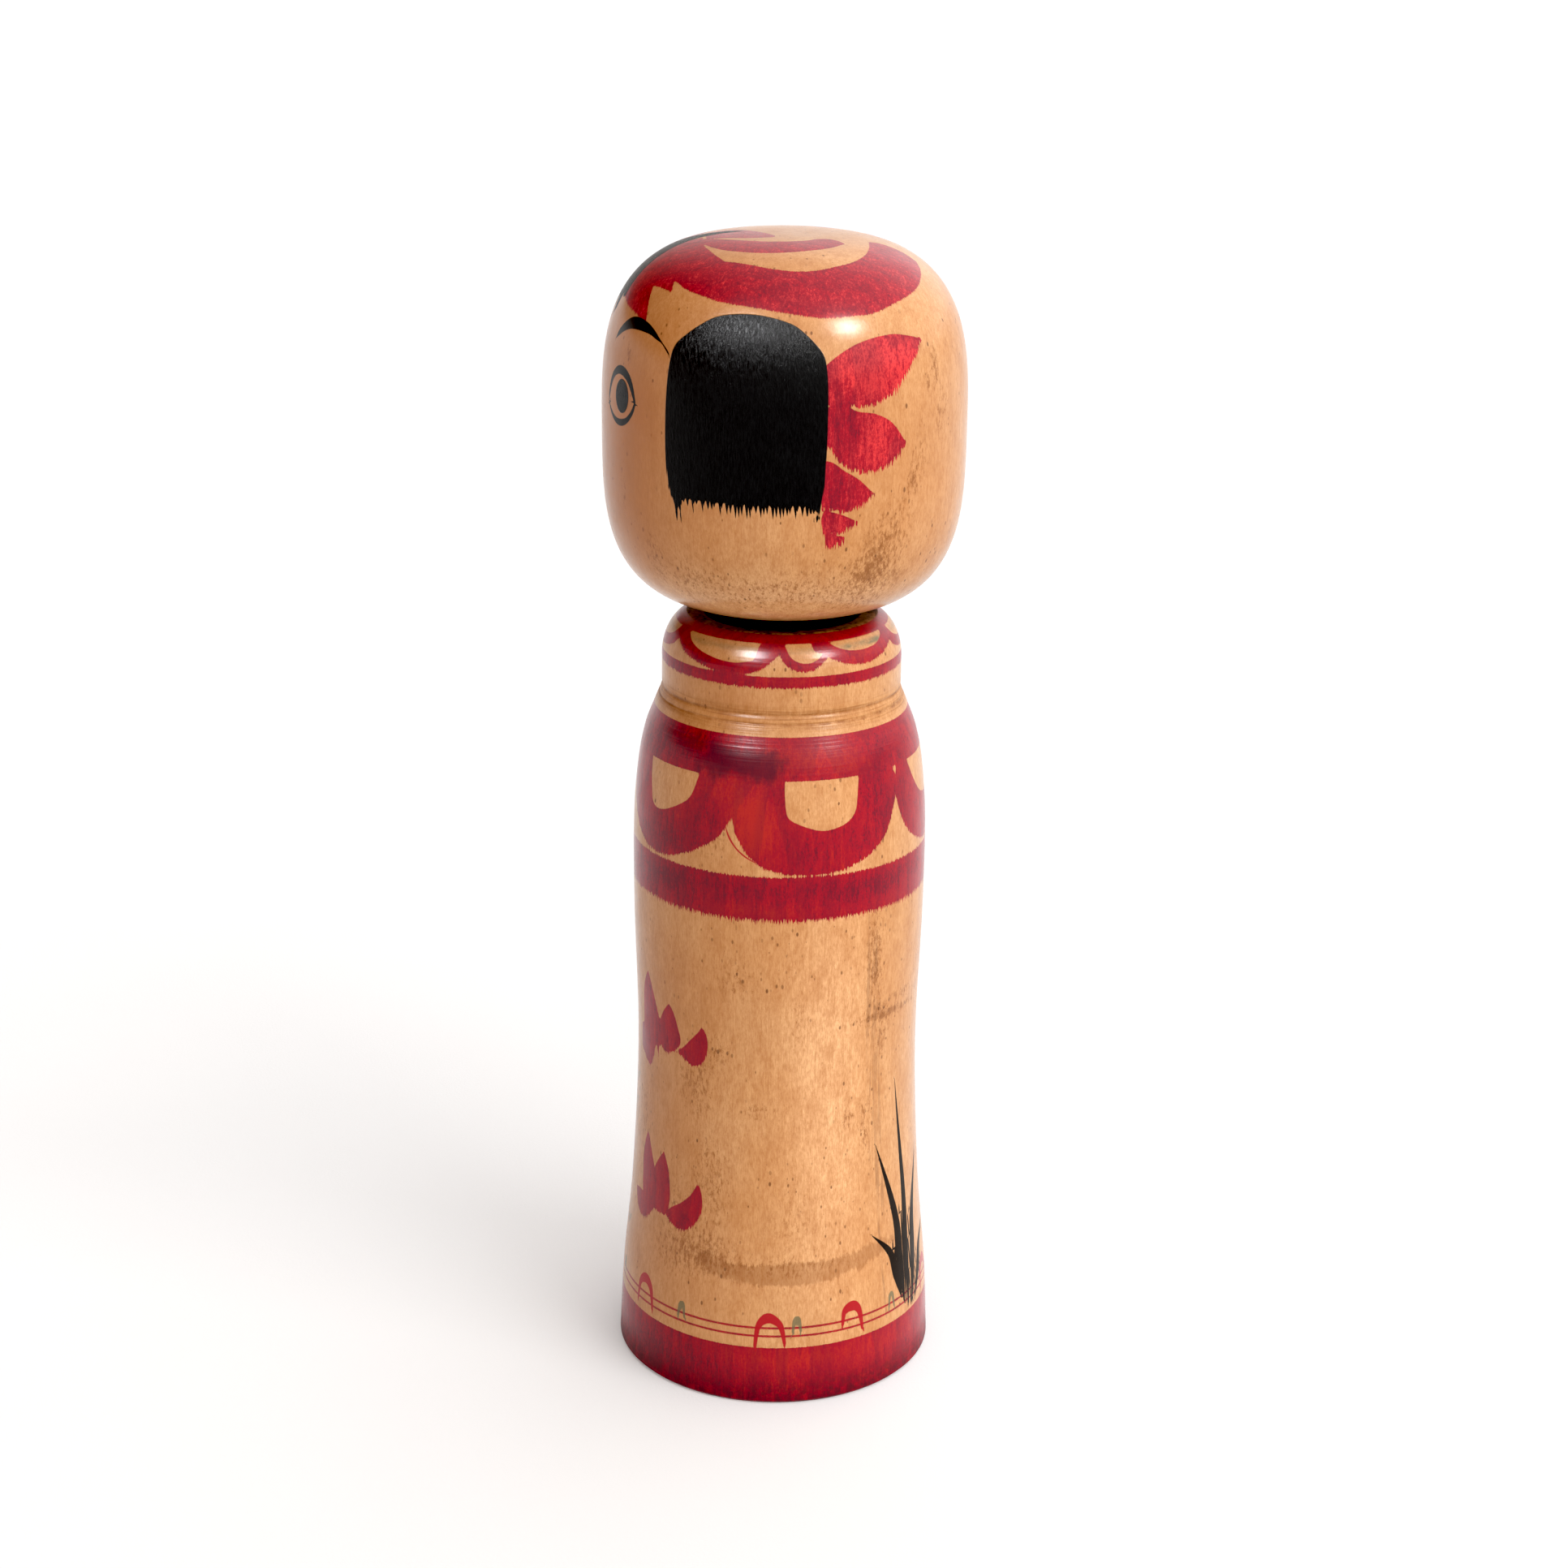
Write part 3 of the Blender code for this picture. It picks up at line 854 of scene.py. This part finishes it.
# Near-black brown: painted shade in the neck and in the mouth's dish and socket, and dirt on the worn lip.
SHADE_AND_GRIME = linear(46, 30, 22)
GREEN = linear(84, 92, 70)
GREY = linear(112, 76, 50)
FLOOR_COLOURS = (linear(192, 193, 195), linear(194, 195, 197))
FLOOR_GLOW = (1.0, 0.985, 0.97, 1.0)
FLOOR_GLOW_STRENGTH = 0.25
WOOD_SHINE, FLOOR_SHINE = 0.12, 0.1  # specular level under the coat, and of the floor
COAT_IOR = 1.4
HEAD_COAT = 0.15  # roughness of the coat
BODY_COAT = (160.0, 172.0, 0.15, 0.21)  # two heights, and its roughness below and above them
HEAD_PITH, BODY_PITH = (-66.0, 14.0, 0.0), (-58.0, -20.0, 0.0)  # the middle of each log's rings, in mm
RING_SPACING, RING_DRIFT, RING_WAVE = 3.1, 26.0, 6.0  # of the year rings, in mm
MEAN_RADIUS = 40.0  # of the painted wood, which turns angles into arcs for the frayed edges
DIRTY_GROOVES = ((183.6, 0.35), (185.9, 0.4))  # height and half width
SMEAR_HEIGHT, SMEAR_TURN = 201.7, math.radians(138.0)
SPUN_LINES = (19.5, 21.8)  # heights of the thin red lines above the base
WAXED, INKED = 0.8, 0.5  # weight of the glossy coat over bare or dyed wood, and over black ink
# The radii, and then the heights, over which each zone fades in, in mm.
# The neck's zone is painted shade, where the neck sits over the body's dish.
NECK_SHADE_ZONE = ((17.0, 14.5), (212.0, 209.0))
LIP_ZONE = ((24.5, 24.2), (202.0, 203.0))
# The socket's zone is painted shade: the dish and the socket inside the mouth.
SOCKET_SHADE_ZONE = ((20.4, 19.6), (150.0, 151.0))
SHOULDER_ZONE = ((180.6, 183.4), (189.0, 186.2))  # the dirty shoulder: both are heights
SCUFFED_FOOT = (11.0, 0.5)  # heights over which the scuffs fade in


class Nodes:
    """Short ways to add and join shader nodes."""

    def __init__(self, name):
        self.material = bpy.data.materials.new(name)
        self.material.use_nodes = True
        self.tree = self.material.node_tree
        self.shader = self.tree.nodes["Principled BSDF"]
        point = self.node("ShaderNodeTexCoord").outputs["Object"]
        self.place = self.vector("MULTIPLY", point, (1.0 / MM, 1.0 / MM, 1.0 / MM))  # in mm

    def put(self, value, socket):
        if isinstance(value, bpy.types.NodeSocket):
            self.tree.links.new(value, socket)
        else:
            socket.default_value = value

    def node(self, kind, *values, **settings):
        """A new node, with the given values or links on its first inputs."""
        made = self.tree.nodes.new(kind)
        for name, value in settings.items():
            setattr(made, name, value)
        for value, socket in zip(values, made.inputs):
            self.put(value, socket)
        return made

    def shade(self, settings):
        for name, value in settings.items():
            self.put(value, self.shader.inputs[name])

    def math(self, operation, *values):
        return self.node("ShaderNodeMath", *values, operation=operation).outputs[0]

    def vector(self, operation, *values):
        return self.node("ShaderNodeVectorMath", *values, operation=operation).outputs[0]

    def times(self, first, second):
        return self.math("MULTIPLY", first, second)

    def minus(self, first, second):
        return self.math("SUBTRACT", first, second)

    def most(self, first, second):
        return self.math("MAXIMUM", first, second)

    def apart(self, first, second):
        return self.math("ABSOLUTE", self.minus(first, second))

    def line(self, value, slope, start):
        return self.math("MULTIPLY_ADD", value, slope, start)

    def sway(self, start, noise, reach):
        """The start, moved up and down by a noise whose middle is 0.5."""
        return self.line(self.minus(noise, 0.5), reach, start)

    def field(self, name):
        return self.node("ShaderNodeAttribute", attribute_name=name).outputs["Fac"]

    def stretched(self, across, up):
        """The point with its two horizontal parts scaled by across, and its height by up."""
        return self.vector("MULTIPLY", self.place, (across, across, up))

    def noise(self, across, up, detail=3.0, roughness=0.55, distortion=0.0):
        """Noise of this many features to a mm across the grain and up it."""
        made = self.node("ShaderNodeTexNoise", self.stretched(across, up))
        settings = {"Scale": 1.0, "Detail": detail, "Roughness": roughness, "Distortion": distortion}
        for name, value in settings.items():
            made.inputs[name].default_value = value
        return made.outputs["Fac"]

    def cells(self, socket, place, **settings):
        """The distance to the middle of the nearest of many scattered cells, and its random numbers."""
        made = self.node("ShaderNodeTexVoronoi", **settings)
        self.put(place, made.inputs[socket])
        made.inputs["Scale"].default_value = 1.0
        random = self.node("ShaderNodeSeparateColor", made.outputs["Color"])
        return made.outputs["Distance"], random.outputs

    def fade(self, value, start, end, low=0.0, high=1.0):
        """Goes smoothly from low to high as value goes from start to end."""
        smooth = {"interpolation_type": "SMOOTHSTEP"}
        return self.node("ShaderNodeMapRange", value, start, end, low, high, **smooth).outputs[0]

    def mix(self, share, first, second):
        made = self.node("ShaderNodeMix", share, data_type="RGBA")
        self.put(first, made.inputs[6])
        self.put(second, made.inputs[7])
        return made.outputs[2]

    def bump(self, height):
        """Relief from a height in mm."""
        made = self.node("ShaderNodeBump")
        made.inputs["Distance"].default_value = MM
        self.put(height, made.inputs["Height"])
        return made.outputs[0]


def round_axis(nodes):
    """The angle in radians round the turning axis, the distance from it, and the height."""
    x, y, height = nodes.node("ShaderNodeSeparateXYZ", nodes.place).outputs
    turn = nodes.math("ARCTAN2", x, nodes.times(y, -1.0))
    square = nodes.math("ADD", nodes.times(x, x), nodes.times(y, y))
    return turn, nodes.math("SQRT", square), height


def zone(nodes, across, height, inwards, upwards):
    """1 where both measures have faded in."""
    return nodes.times(nodes.fade(across, *inwards), nodes.fade(height, *upwards))


def frayed(nodes, name, spikes):
    """A dye's distance, moved by its fray along the grain."""
    return nodes.minus(nodes.field(name + "_edge"), nodes.times(nodes.field(name + "_fray"), spikes))


def wood_grain(nodes, pith):
    """Growth rings, fibres and their streaks, each about 0 to 1."""
    drift = nodes.noise(0.035, 0.006, detail=2.0)
    wave = nodes.noise(0.16, 0.02)
    offset = nodes.vector("SUBTRACT", nodes.stretched(1.0, 0.02), pith)
    distance = nodes.node("ShaderNodeVectorMath", offset, operation="LENGTH").outputs["Value"]
    distance = nodes.line(wave, RING_WAVE, nodes.line(drift, RING_DRIFT, distance))
    year = nodes.math("FRACT", nodes.math("DIVIDE", distance, RING_SPACING))
    rings = nodes.times(nodes.fade(year, 0.2, 0.88), nodes.fade(year, 1.0, 0.94))
    fibres = nodes.noise(3.2, 0.45, detail=5.0, roughness=0.75)
    streaks = nodes.noise(0.8, 0.03, detail=5.0, roughness=0.65)
    return rings, fibres, streaks


def flecks(nodes, across, up, share, size):
    """Small dashes along the grain, in this share of the cells of a scatter."""
    distance, (pick, bulk, depth) = nodes.cells("Vector", nodes.stretched(across, up))
    chosen = nodes.fade(nodes.minus(pick, share), 0.03, -0.03)
    radius = nodes.line(bulk, size, 0.4 * size)
    inside = nodes.fade(nodes.minus(distance, radius), 0.0, -0.6 * size)
    strength = nodes.line(depth, 0.7, 0.3)
    return nodes.times(nodes.times(chosen, inside), strength)


def wood_colour(nodes, rings, fibres, streaks):
    cloud = nodes.noise(0.045, 0.025, detail=5.0, roughness=0.6)
    blotch = nodes.noise(0.26, 0.12, detail=5.0, roughness=0.7)
    mottle = nodes.noise(1.1, 0.5, detail=5.0, roughness=0.75)
    colour = nodes.mix(nodes.fade(cloud, 0.35, 0.62), WOOD, WOOD_PALE)
    # Painted shade and light, partly a patina: a warm brown where the field is above 0, paler wood where
    # it is below 0.
    colour = nodes.mix(nodes.field("patina_and_shading"), colour, WOOD_PATINA_AND_SHADE)
    colour = nodes.mix(nodes.times(nodes.field("patina_and_shading"), -1.0), colour, WOOD_PAINTED_LIGHT)
    for dark in (
        nodes.fade(blotch, 0.42, 0.7, 0.0, 0.35),
        nodes.fade(mottle, 0.38, 0.72, 0.0, 0.45),
        nodes.fade(streaks, 0.48, 0.75, 0.0, 0.25),
        nodes.times(rings, 0.12),
        nodes.fade(fibres, 0.38, 0.68, 0.0, 0.45),
    ):
        colour = nodes.mix(dark, colour, WOOD_DARK)
    tan = nodes.sway(nodes.field("tan"), blotch, 1.1)
    tan = nodes.sway(tan, mottle, 0.9)
    colour = nodes.mix(nodes.fade(tan, 0.26, 0.62, 0.0, 0.4), colour, WOOD_STAIN)
    stain = nodes.field("stain")
    wet = nodes.minus(mottle, nodes.times(nodes.minus(1.0, stain), 0.16))
    stained = nodes.times(nodes.fade(stain, 0.02, 0.3), nodes.fade(wet, 0.38, 0.62, 0.0, 0.7))
    colour = nodes.mix(stained, colour, WOOD_STAIN)
    many = nodes.line(stain, 0.4, nodes.fade(cloud, 0.6, 0.4, 0.08, 0.32))
    colour = nodes.mix(nodes.times(flecks(nodes, 0.8, 0.45, many, 0.26), 0.8), colour, FLECK)
    many = nodes.line(stain, 0.3, 0.04)
    return nodes.mix(nodes.times(flecks(nodes, 0.3, 0.13, many, 0.11), 0.6), colour, FLECK)


def red_dye(nodes, rings, fibres, thin):
    patchy = nodes.noise(0.3, 0.14, detail=5.0, roughness=0.65)
    grain = nodes.noise(1.2, 0.16, detail=5.0, roughness=0.75)
    speck = nodes.noise(2.0, 1.4, detail=4.0, roughness=0.8)
    tone = nodes.field("dye_tone")
    for noise, reach in ((patchy, 2.0), (fibres, 3.2), (grain, 4.2), (speck, 4.2)):
        tone = nodes.sway(tone, noise, reach)
    colour = nodes.mix(nodes.fade(tone, 0.1, -1.5), RED_MAIN, thin)
    colour = nodes.mix(nodes.fade(tone, 0.0, 1.4), colour, RED_DEEP)
    colour = nodes.mix(nodes.times(rings, 0.3), colour, RED_DEEP)
    double = nodes.minus(nodes.field("red_second"), nodes.times(nodes.minus(patchy, 0.5), 5.0))
    double = nodes.fade(double, 0.6, -0.8)
    overlap = nodes.field("overlap")
    strength = nodes.math("MINIMUM", nodes.line(overlap, 0.3, 0.12), 0.5)
    soaked = nodes.fade(nodes.sway(overlap, patchy, 1.2), 0.4, 0.9, 0.0, 0.72)
    strength = nodes.most(nodes.times(double, strength), soaked)
    return nodes.mix(strength, colour, RED_DOUBLE)


def covered(nodes, distance, softness=0.12):
    return nodes.fade(distance, softness, -softness)


def turning_marks(nodes):
    """Fine rings that the tool left, which run round the piece."""
    return nodes.noise(0.02, 1.5, detail=1.5, roughness=0.6)


def worn(nodes):
    """The roughness of the wood, which is uneven."""
    return nodes.fade(nodes.noise(0.12, 0.12, detail=4.0), 0.25, 0.75, 0.36, 0.5)


def finish_wood(nodes, colour, roughness, height, gloss, coat):
    relief = nodes.bump(height)
    nodes.shade({
        "Base Color": colour,
        "Roughness": roughness,
        "Normal": relief,
        "Specular IOR Level": WOOD_SHINE,
        "Coat Weight": gloss,
        "Coat Roughness": coat,
        "Coat IOR": COAT_IOR,
        "Coat Normal": relief,
    })
    return nodes.material


def ink_cover(nodes, breakup, name="ink"):
    """Where a thin line lies: inside its half width, and not where two lines' sides swap."""
    off = nodes.minus(nodes.math("ABSOLUTE", nodes.field(name + "_side")), nodes.field(name + "_half"))
    off = nodes.sway(off, breakup, 0.3)
    near = nodes.fade(nodes.field(name + "_gap"), 1.1, 0.7)
    return nodes.times(covered(nodes, off, 0.1), near)


def spiky(nodes, turn, height, spacing, fine):
    """Uneven spikes 0 to 1, a spacing in mm apart, that hang along the grain."""
    arc = nodes.line(height, 0.03, nodes.times(turn, MEAN_RADIUS))
    distance, pick = nodes.cells("W", nodes.math("DIVIDE", arc, spacing), voronoi_dimensions="1D")
    point = nodes.most(nodes.line(distance, -2.0, 1.0), 0.0)
    reach = nodes.line(pick[0], 0.75, 0.25)
    small = nodes.noise(2.8, 0.05)
    small = nodes.times(nodes.fade(small, 0.35, 0.7), fine)
    return nodes.line(nodes.times(point, reach), 1.0 - fine, small)


def head_material():
    nodes = Nodes("painted_head")
    turn, across, height_now = round_axis(nodes)
    rings, fibres, streaks = wood_grain(nodes, HEAD_PITH)
    colour = wood_colour(nodes, rings, fibres, streaks)
    red = covered(nodes, frayed(nodes, "red", spiky(nodes, turn, height_now, 0.5, 0.45)))
    colour = nodes.mix(red, colour, red_dye(nodes, rings, fibres, PETAL_THIN))
    black = covered(nodes, frayed(nodes, "black", spiky(nodes, turn, height_now, 0.8, 0.1)))
    ink = nodes.most(black, ink_cover(nodes, fibres))
    brushed = nodes.noise(1.5, 0.42, detail=5.0, roughness=0.75, distortion=0.8)
    lifted = nodes.fade(fibres, 0.4, 0.75, 0.0, 0.8)
    colour = nodes.mix(ink, colour, nodes.mix(nodes.times(brushed, lifted), BLACK, SOOT))
    # Painted shade: the neck and the head's underside near it go almost black, as under the head in the
    # body's dish.
    neck = zone(nodes, across, height_now, *NECK_SHADE_ZONE)
    colour = nodes.mix(nodes.times(neck, 0.94), colour, SHADE_AND_GRIME)
    strands = nodes.times(brushed, black)
    roughness = nodes.line(strands, 0.1, worn(nodes))
    height = nodes.line(turning_marks(nodes), 0.012, nodes.times(fibres, 0.02))
    height = nodes.line(strands, 0.15, height)
    gloss = nodes.fade(ink, 0.2, 0.8, WAXED, INKED)
    return finish_wood(nodes, colour, roughness, height, gloss, HEAD_COAT)


def collar_dirt(nodes, height_now, turn):
    """Brown dirt in the shoulder's grooves, and green smears under the mouth's red band."""
    lines = nodes.noise(0.035, 1.7, detail=5.0, roughness=0.75)
    patches = nodes.noise(0.22, 0.5, detail=5.0, roughness=0.7)
    shoulder = zone(nodes, height_now, height_now, *SHOULDER_ZONE)
    dirt = nodes.times(shoulder, nodes.fade(lines, 0.42, 0.66, 0.05, 0.55))
    for centre, half in DIRTY_GROOVES:
        off = nodes.apart(height_now, centre)
        groove = nodes.times(nodes.fade(off, half + 0.5, 0.0), nodes.fade(patches, 0.3, 0.7, 0.15, 0.85))
        dirt = nodes.most(dirt, groove)
    off = nodes.apart(height_now, SMEAR_HEIGHT)
    middle = nodes.apart(nodes.math("ABSOLUTE", turn), SMEAR_TURN)
    strong = nodes.fade(middle, math.radians(17.0), math.radians(10.0), 0.3, 0.8)
    smear = nodes.times(nodes.fade(off, 1.1, 0.1), nodes.fade(patches, 0.32, 0.6, 0.25, 1.0))
    return dirt, nodes.times(smear, strong), shoulder


def body_material():
    nodes = Nodes("painted_body")
    turn, across, height_now = round_axis(nodes)
    rings, fibres, streaks = wood_grain(nodes, BODY_PITH)
    colour = wood_colour(nodes, rings, fibres, streaks)
    dirt, smear, shoulder = collar_dirt(nodes, height_now, turn)
    colour = nodes.mix(dirt, colour, WOOD_STAIN)
    colour = nodes.mix(smear, colour, GREEN)
    green = covered(nodes, frayed(nodes, "green", spiky(nodes, turn, height_now, 0.6, 0.6)), 0.3)
    colour = nodes.mix(nodes.times(green, 0.45), colour, GREEN)
    drawn = nodes.fade(nodes.noise(0.5, 0.1, detail=4.0), 0.4, 0.7, 0.05, 0.4)
    colour = nodes.mix(nodes.times(ink_cover(nodes, streaks, "grey"), drawn), colour, GREY)
    red = covered(nodes, frayed(nodes, "red", spiky(nodes, turn, height_now, 0.4, 0.5)))
    for centre in SPUN_LINES:
        off = nodes.sway(nodes.apart(height_now, centre), fibres, 0.9)
        line = nodes.times(nodes.fade(off, 0.42, 0.18), nodes.fade(fibres, 0.25, 0.5, 0.6, 1.0))
        red = nodes.most(red, line)
    colour = nodes.mix(red, colour, red_dye(nodes, rings, fibres, RED_THIN))
    hue = nodes.field("ink_hue")
    ink_colour = nodes.mix(nodes.fade(hue, 0.4, 0.6), BLACK, RED_INKED)
    ink_colour = nodes.mix(nodes.fade(hue, 1.4, 1.6), ink_colour, GREEN)
    ink = nodes.times(ink_cover(nodes, fibres), nodes.fade(hue, 1.4, 1.6, 0.98, 0.75))
    colour = nodes.mix(ink, colour, ink_colour)
    lip = zone(nodes, across, height_now, *LIP_ZONE)
    rubbed = nodes.noise(0.5, 0.5, detail=6.0, roughness=0.75)
    lip_colour = nodes.mix(nodes.fade(rubbed, 0.4, 0.65, 0.1, 0.95), LIP_WOOD, SHADE_AND_GRIME)
    colour = nodes.mix(lip, colour, lip_colour)
    # Painted shade: the dish and the socket inside the mouth go almost black.
    inside = zone(nodes, across, height_now, *SOCKET_SHADE_ZONE)
    colour = nodes.mix(nodes.times(inside, 0.93), colour, SHADE_AND_GRIME)
    low = nodes.fade(height_now, *SCUFFED_FOOT)
    scuffed = nodes.times(low, nodes.fade(rubbed, 0.36, 0.62, 0.2, 0.9))
    colour = nodes.mix(scuffed, colour, SCUFFED)
    roughness = nodes.line(nodes.most(low, lip), 0.12, worn(nodes))
    deep = nodes.fade(height_now, 150.0, 175.0, 0.016, 0.045)
    height = nodes.line(turning_marks(nodes), deep, nodes.times(fibres, 0.02))
    height = nodes.line(nodes.times(rubbed, low), 0.05, height)
    written = nodes.times(ink, nodes.fade(hue, 0.6, 0.4))
    dull = nodes.most(nodes.most(shoulder, low), written)
    dull = nodes.most(nodes.most(inside, lip), nodes.times(dull, 0.65))
    gloss = nodes.line(dull, -WAXED, WAXED)
    return finish_wood(nodes, colour, roughness, height, gloss, nodes.fade(height_now, *BODY_COAT))


def floor_material():
    nodes = Nodes("pale_paper")
    mottle = nodes.noise(0.004, 0.004)
    tooth = nodes.noise(1.2, 1.2, detail=4.0)
    nodes.shade({
        "Base Color": nodes.mix(nodes.fade(mottle, 0.3, 0.7), *FLOOR_COLOURS),
        "Roughness": nodes.fade(tooth, 0.2, 0.8, 0.85, 0.95),
        "Normal": nodes.bump(nodes.times(tooth, 0.05)),
        "Specular IOR Level": FLOOR_SHINE,
        "Emission Color": FLOOR_GLOW,
        "Emission Strength": FLOOR_GLOW_STRENGTH,
    })
    return nodes.material


# ---------------------------------------------------------------------------------------------------
# Camera, lights and floor.

LENS, SENSOR = 63.35, 36.0  # focal length and width, in mm
NEAREST, FARTHEST = 0.02, 60.0  # what the camera sees, in metres
CAMERA_AT = (0.6799, 0.0, 0.38495)
PITCH = math.radians(18.458)
YAW = 0.00134
ROLL = 0.01293
# Azimuth from the camera's side towards the doll's back, elevation and width in the sky, all in degrees,
# then strength, colour, whether it lights and whether it shines.
SUNS = (
    ("window", 47.0, 36.5, 13.0, 2.1, (1.0, 0.985, 0.96), False, True),
    ("daylight", 52.0, 38.0, 36.0, 1.5, (1.0, 0.975, 0.94), True, False),
    ("second_window", -33.0, 39.0, 18.0, 4.3, (0.97, 0.98, 1.0), False, True),
    ("fill", 18.0, 20.0, 60.0, 0.6, (1.0, 0.92, 0.8), True, False),
)
ROOM_BRIGHT = (1.8, 1.79, 1.77, 1.0)  # the room on the windows' side
ROOM_DIM = (0.2, 0.1, 0.05, 1.0)  # and on the other
ROOM_WAY = (0.0, 0.92, 0.4)  # from the dim side to the bright one
ROOM_FADE = (-0.5, 0.75)  # where that way the room starts to get brighter, and stops
TONE = 0.92  # the gamma of the view
DEEPEST = 0.0285  # the light that shows as black, as in a camera's picture

FLAT_FLOOR = 5.0  # how far from the doll the floor starts to rise, in metres
FLOOR_RADIUS = 12.0
FLOOR_RIM = 1.7  # height
FLOOR_SIDES = 96
FLOOR_RINGS = 12


def make_camera():
    ahead = Vector((-math.cos(YAW) * math.cos(PITCH), math.sin(YAW) * math.cos(PITCH), -math.sin(PITCH)))
    level = Vector((math.sin(YAW), math.cos(YAW), 0.0))
    upright = level.cross(ahead)
    right = math.cos(ROLL) * level + math.sin(ROLL) * upright
    top = math.cos(ROLL) * upright - math.sin(ROLL) * level
    data = bpy.data.cameras.new("camera")
    data.sensor_width = SENSOR
    data.lens = LENS
    data.clip_start = NEAREST
    data.clip_end = FARTHEST
    camera = bpy.data.objects.new("camera", data)
    turn = Matrix((right, top, -ahead)).transposed().to_4x4()
    camera.matrix_world = Matrix.Translation(CAMERA_AT) @ turn
    bpy.context.scene.collection.objects.link(camera)
    bpy.context.scene.camera = camera


def make_lights():
    for name, azimuth, elevation, width, strength, colour, lights, shines in SUNS:
        turn, lift = math.radians(azimuth), math.radians(elevation)
        way = Vector((math.cos(turn) * math.cos(lift), math.sin(turn) * math.cos(lift), math.sin(lift)))
        data = bpy.data.lights.new(name, "SUN")
        data.angle = math.radians(width)
        data.energy = strength
        data.color = colour
        light = bpy.data.objects.new(name, data)
        light.visible_diffuse = lights
        light.visible_glossy = shines
        light.location = way
        light.rotation_mode = "QUATERNION"
        light.rotation_quaternion = (-way).to_track_quat("-Z", "Y")
        bpy.context.scene.collection.objects.link(light)


def make_world():
    world = bpy.data.worlds.new("room")
    world.use_nodes = True
    nodes, links = world.node_tree.nodes, world.node_tree.links
    along = nodes.new("ShaderNodeVectorMath")
    along.operation = "DOT_PRODUCT"
    along.inputs[1].default_value = Vector(ROOM_WAY).normalized()
    share = nodes.new("ShaderNodeMapRange")
    share.interpolation_type = "SMOOTHSTEP"
    share.inputs[1].default_value, share.inputs[2].default_value = ROOM_FADE
    blend = nodes.new("ShaderNodeMix")
    blend.data_type = "RGBA"
    blend.inputs[6].default_value = ROOM_DIM
    blend.inputs[7].default_value = ROOM_BRIGHT
    links.new(nodes.new("ShaderNodeTexCoord").outputs["Generated"], along.inputs[0])
    links.new(along.outputs["Value"], share.inputs[0])
    links.new(share.outputs[0], blend.inputs["Factor"])
    links.new(blend.outputs[2], nodes["Background"].inputs["Color"])
    bpy.context.scene.world = world
    settings = bpy.context.scene.view_settings
    settings.view_transform = "Standard"
    settings.gamma = TONE
    settings.use_curve_mapping = True
    settings.curve_mapping.black_level = (DEEPEST, DEEPEST, DEEPEST)
    settings.curve_mapping.update()


def make_floor():
    """A floor that is flat round the doll and rises gently far away, so that it has no horizon."""
    turn = np.linspace(0.0, 2.0 * math.pi, FLOOR_SIDES, endpoint=False)
    points = [(0.0, 0.0, 0.0)]
    faces = [(0, 1 + side, 1 + (side + 1) % FLOOR_SIDES) for side in range(FLOOR_SIDES)]
    for ring, radius in enumerate(np.linspace(FLAT_FLOOR, FLOOR_RADIUS, FLOOR_RINGS)):
        height = FLOOR_RIM * ((radius - FLAT_FLOOR) / (FLOOR_RADIUS - FLAT_FLOOR)) ** 2
        points += [(radius * math.cos(angle), radius * math.sin(angle), height) for angle in turn]
        if ring:
            inner, outer = 1 + (ring - 1) * FLOOR_SIDES, 1 + ring * FLOOR_SIDES
            for side in range(FLOOR_SIDES):
                beside = (side + 1) % FLOOR_SIDES
                faces.append((inner + side, outer + side, outer + beside, inner + beside))
    mesh = bpy.data.meshes.new("floor")
    mesh.from_pydata(points, [], faces)
    mesh.shade_smooth()
    mesh.materials.append(floor_material())
    floor = bpy.data.objects.new("floor", mesh)
    bpy.context.scene.collection.objects.link(floor)


def make_piece(name, profile, sides, paint, material, node):
    piece = turned(name, profile, sides)
    paint(piece)
    piece.data.materials.append(material)
    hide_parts(node)
    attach(piece, node)


make_camera()
make_lights()
make_world()
make_floor()
make_piece("doll_body", body_profile(), BODY_SIDES, paint_body, body_material(), "body")
make_piece("doll_head", head_profile(), HEAD_SIDES, paint_head, head_material(), "head")
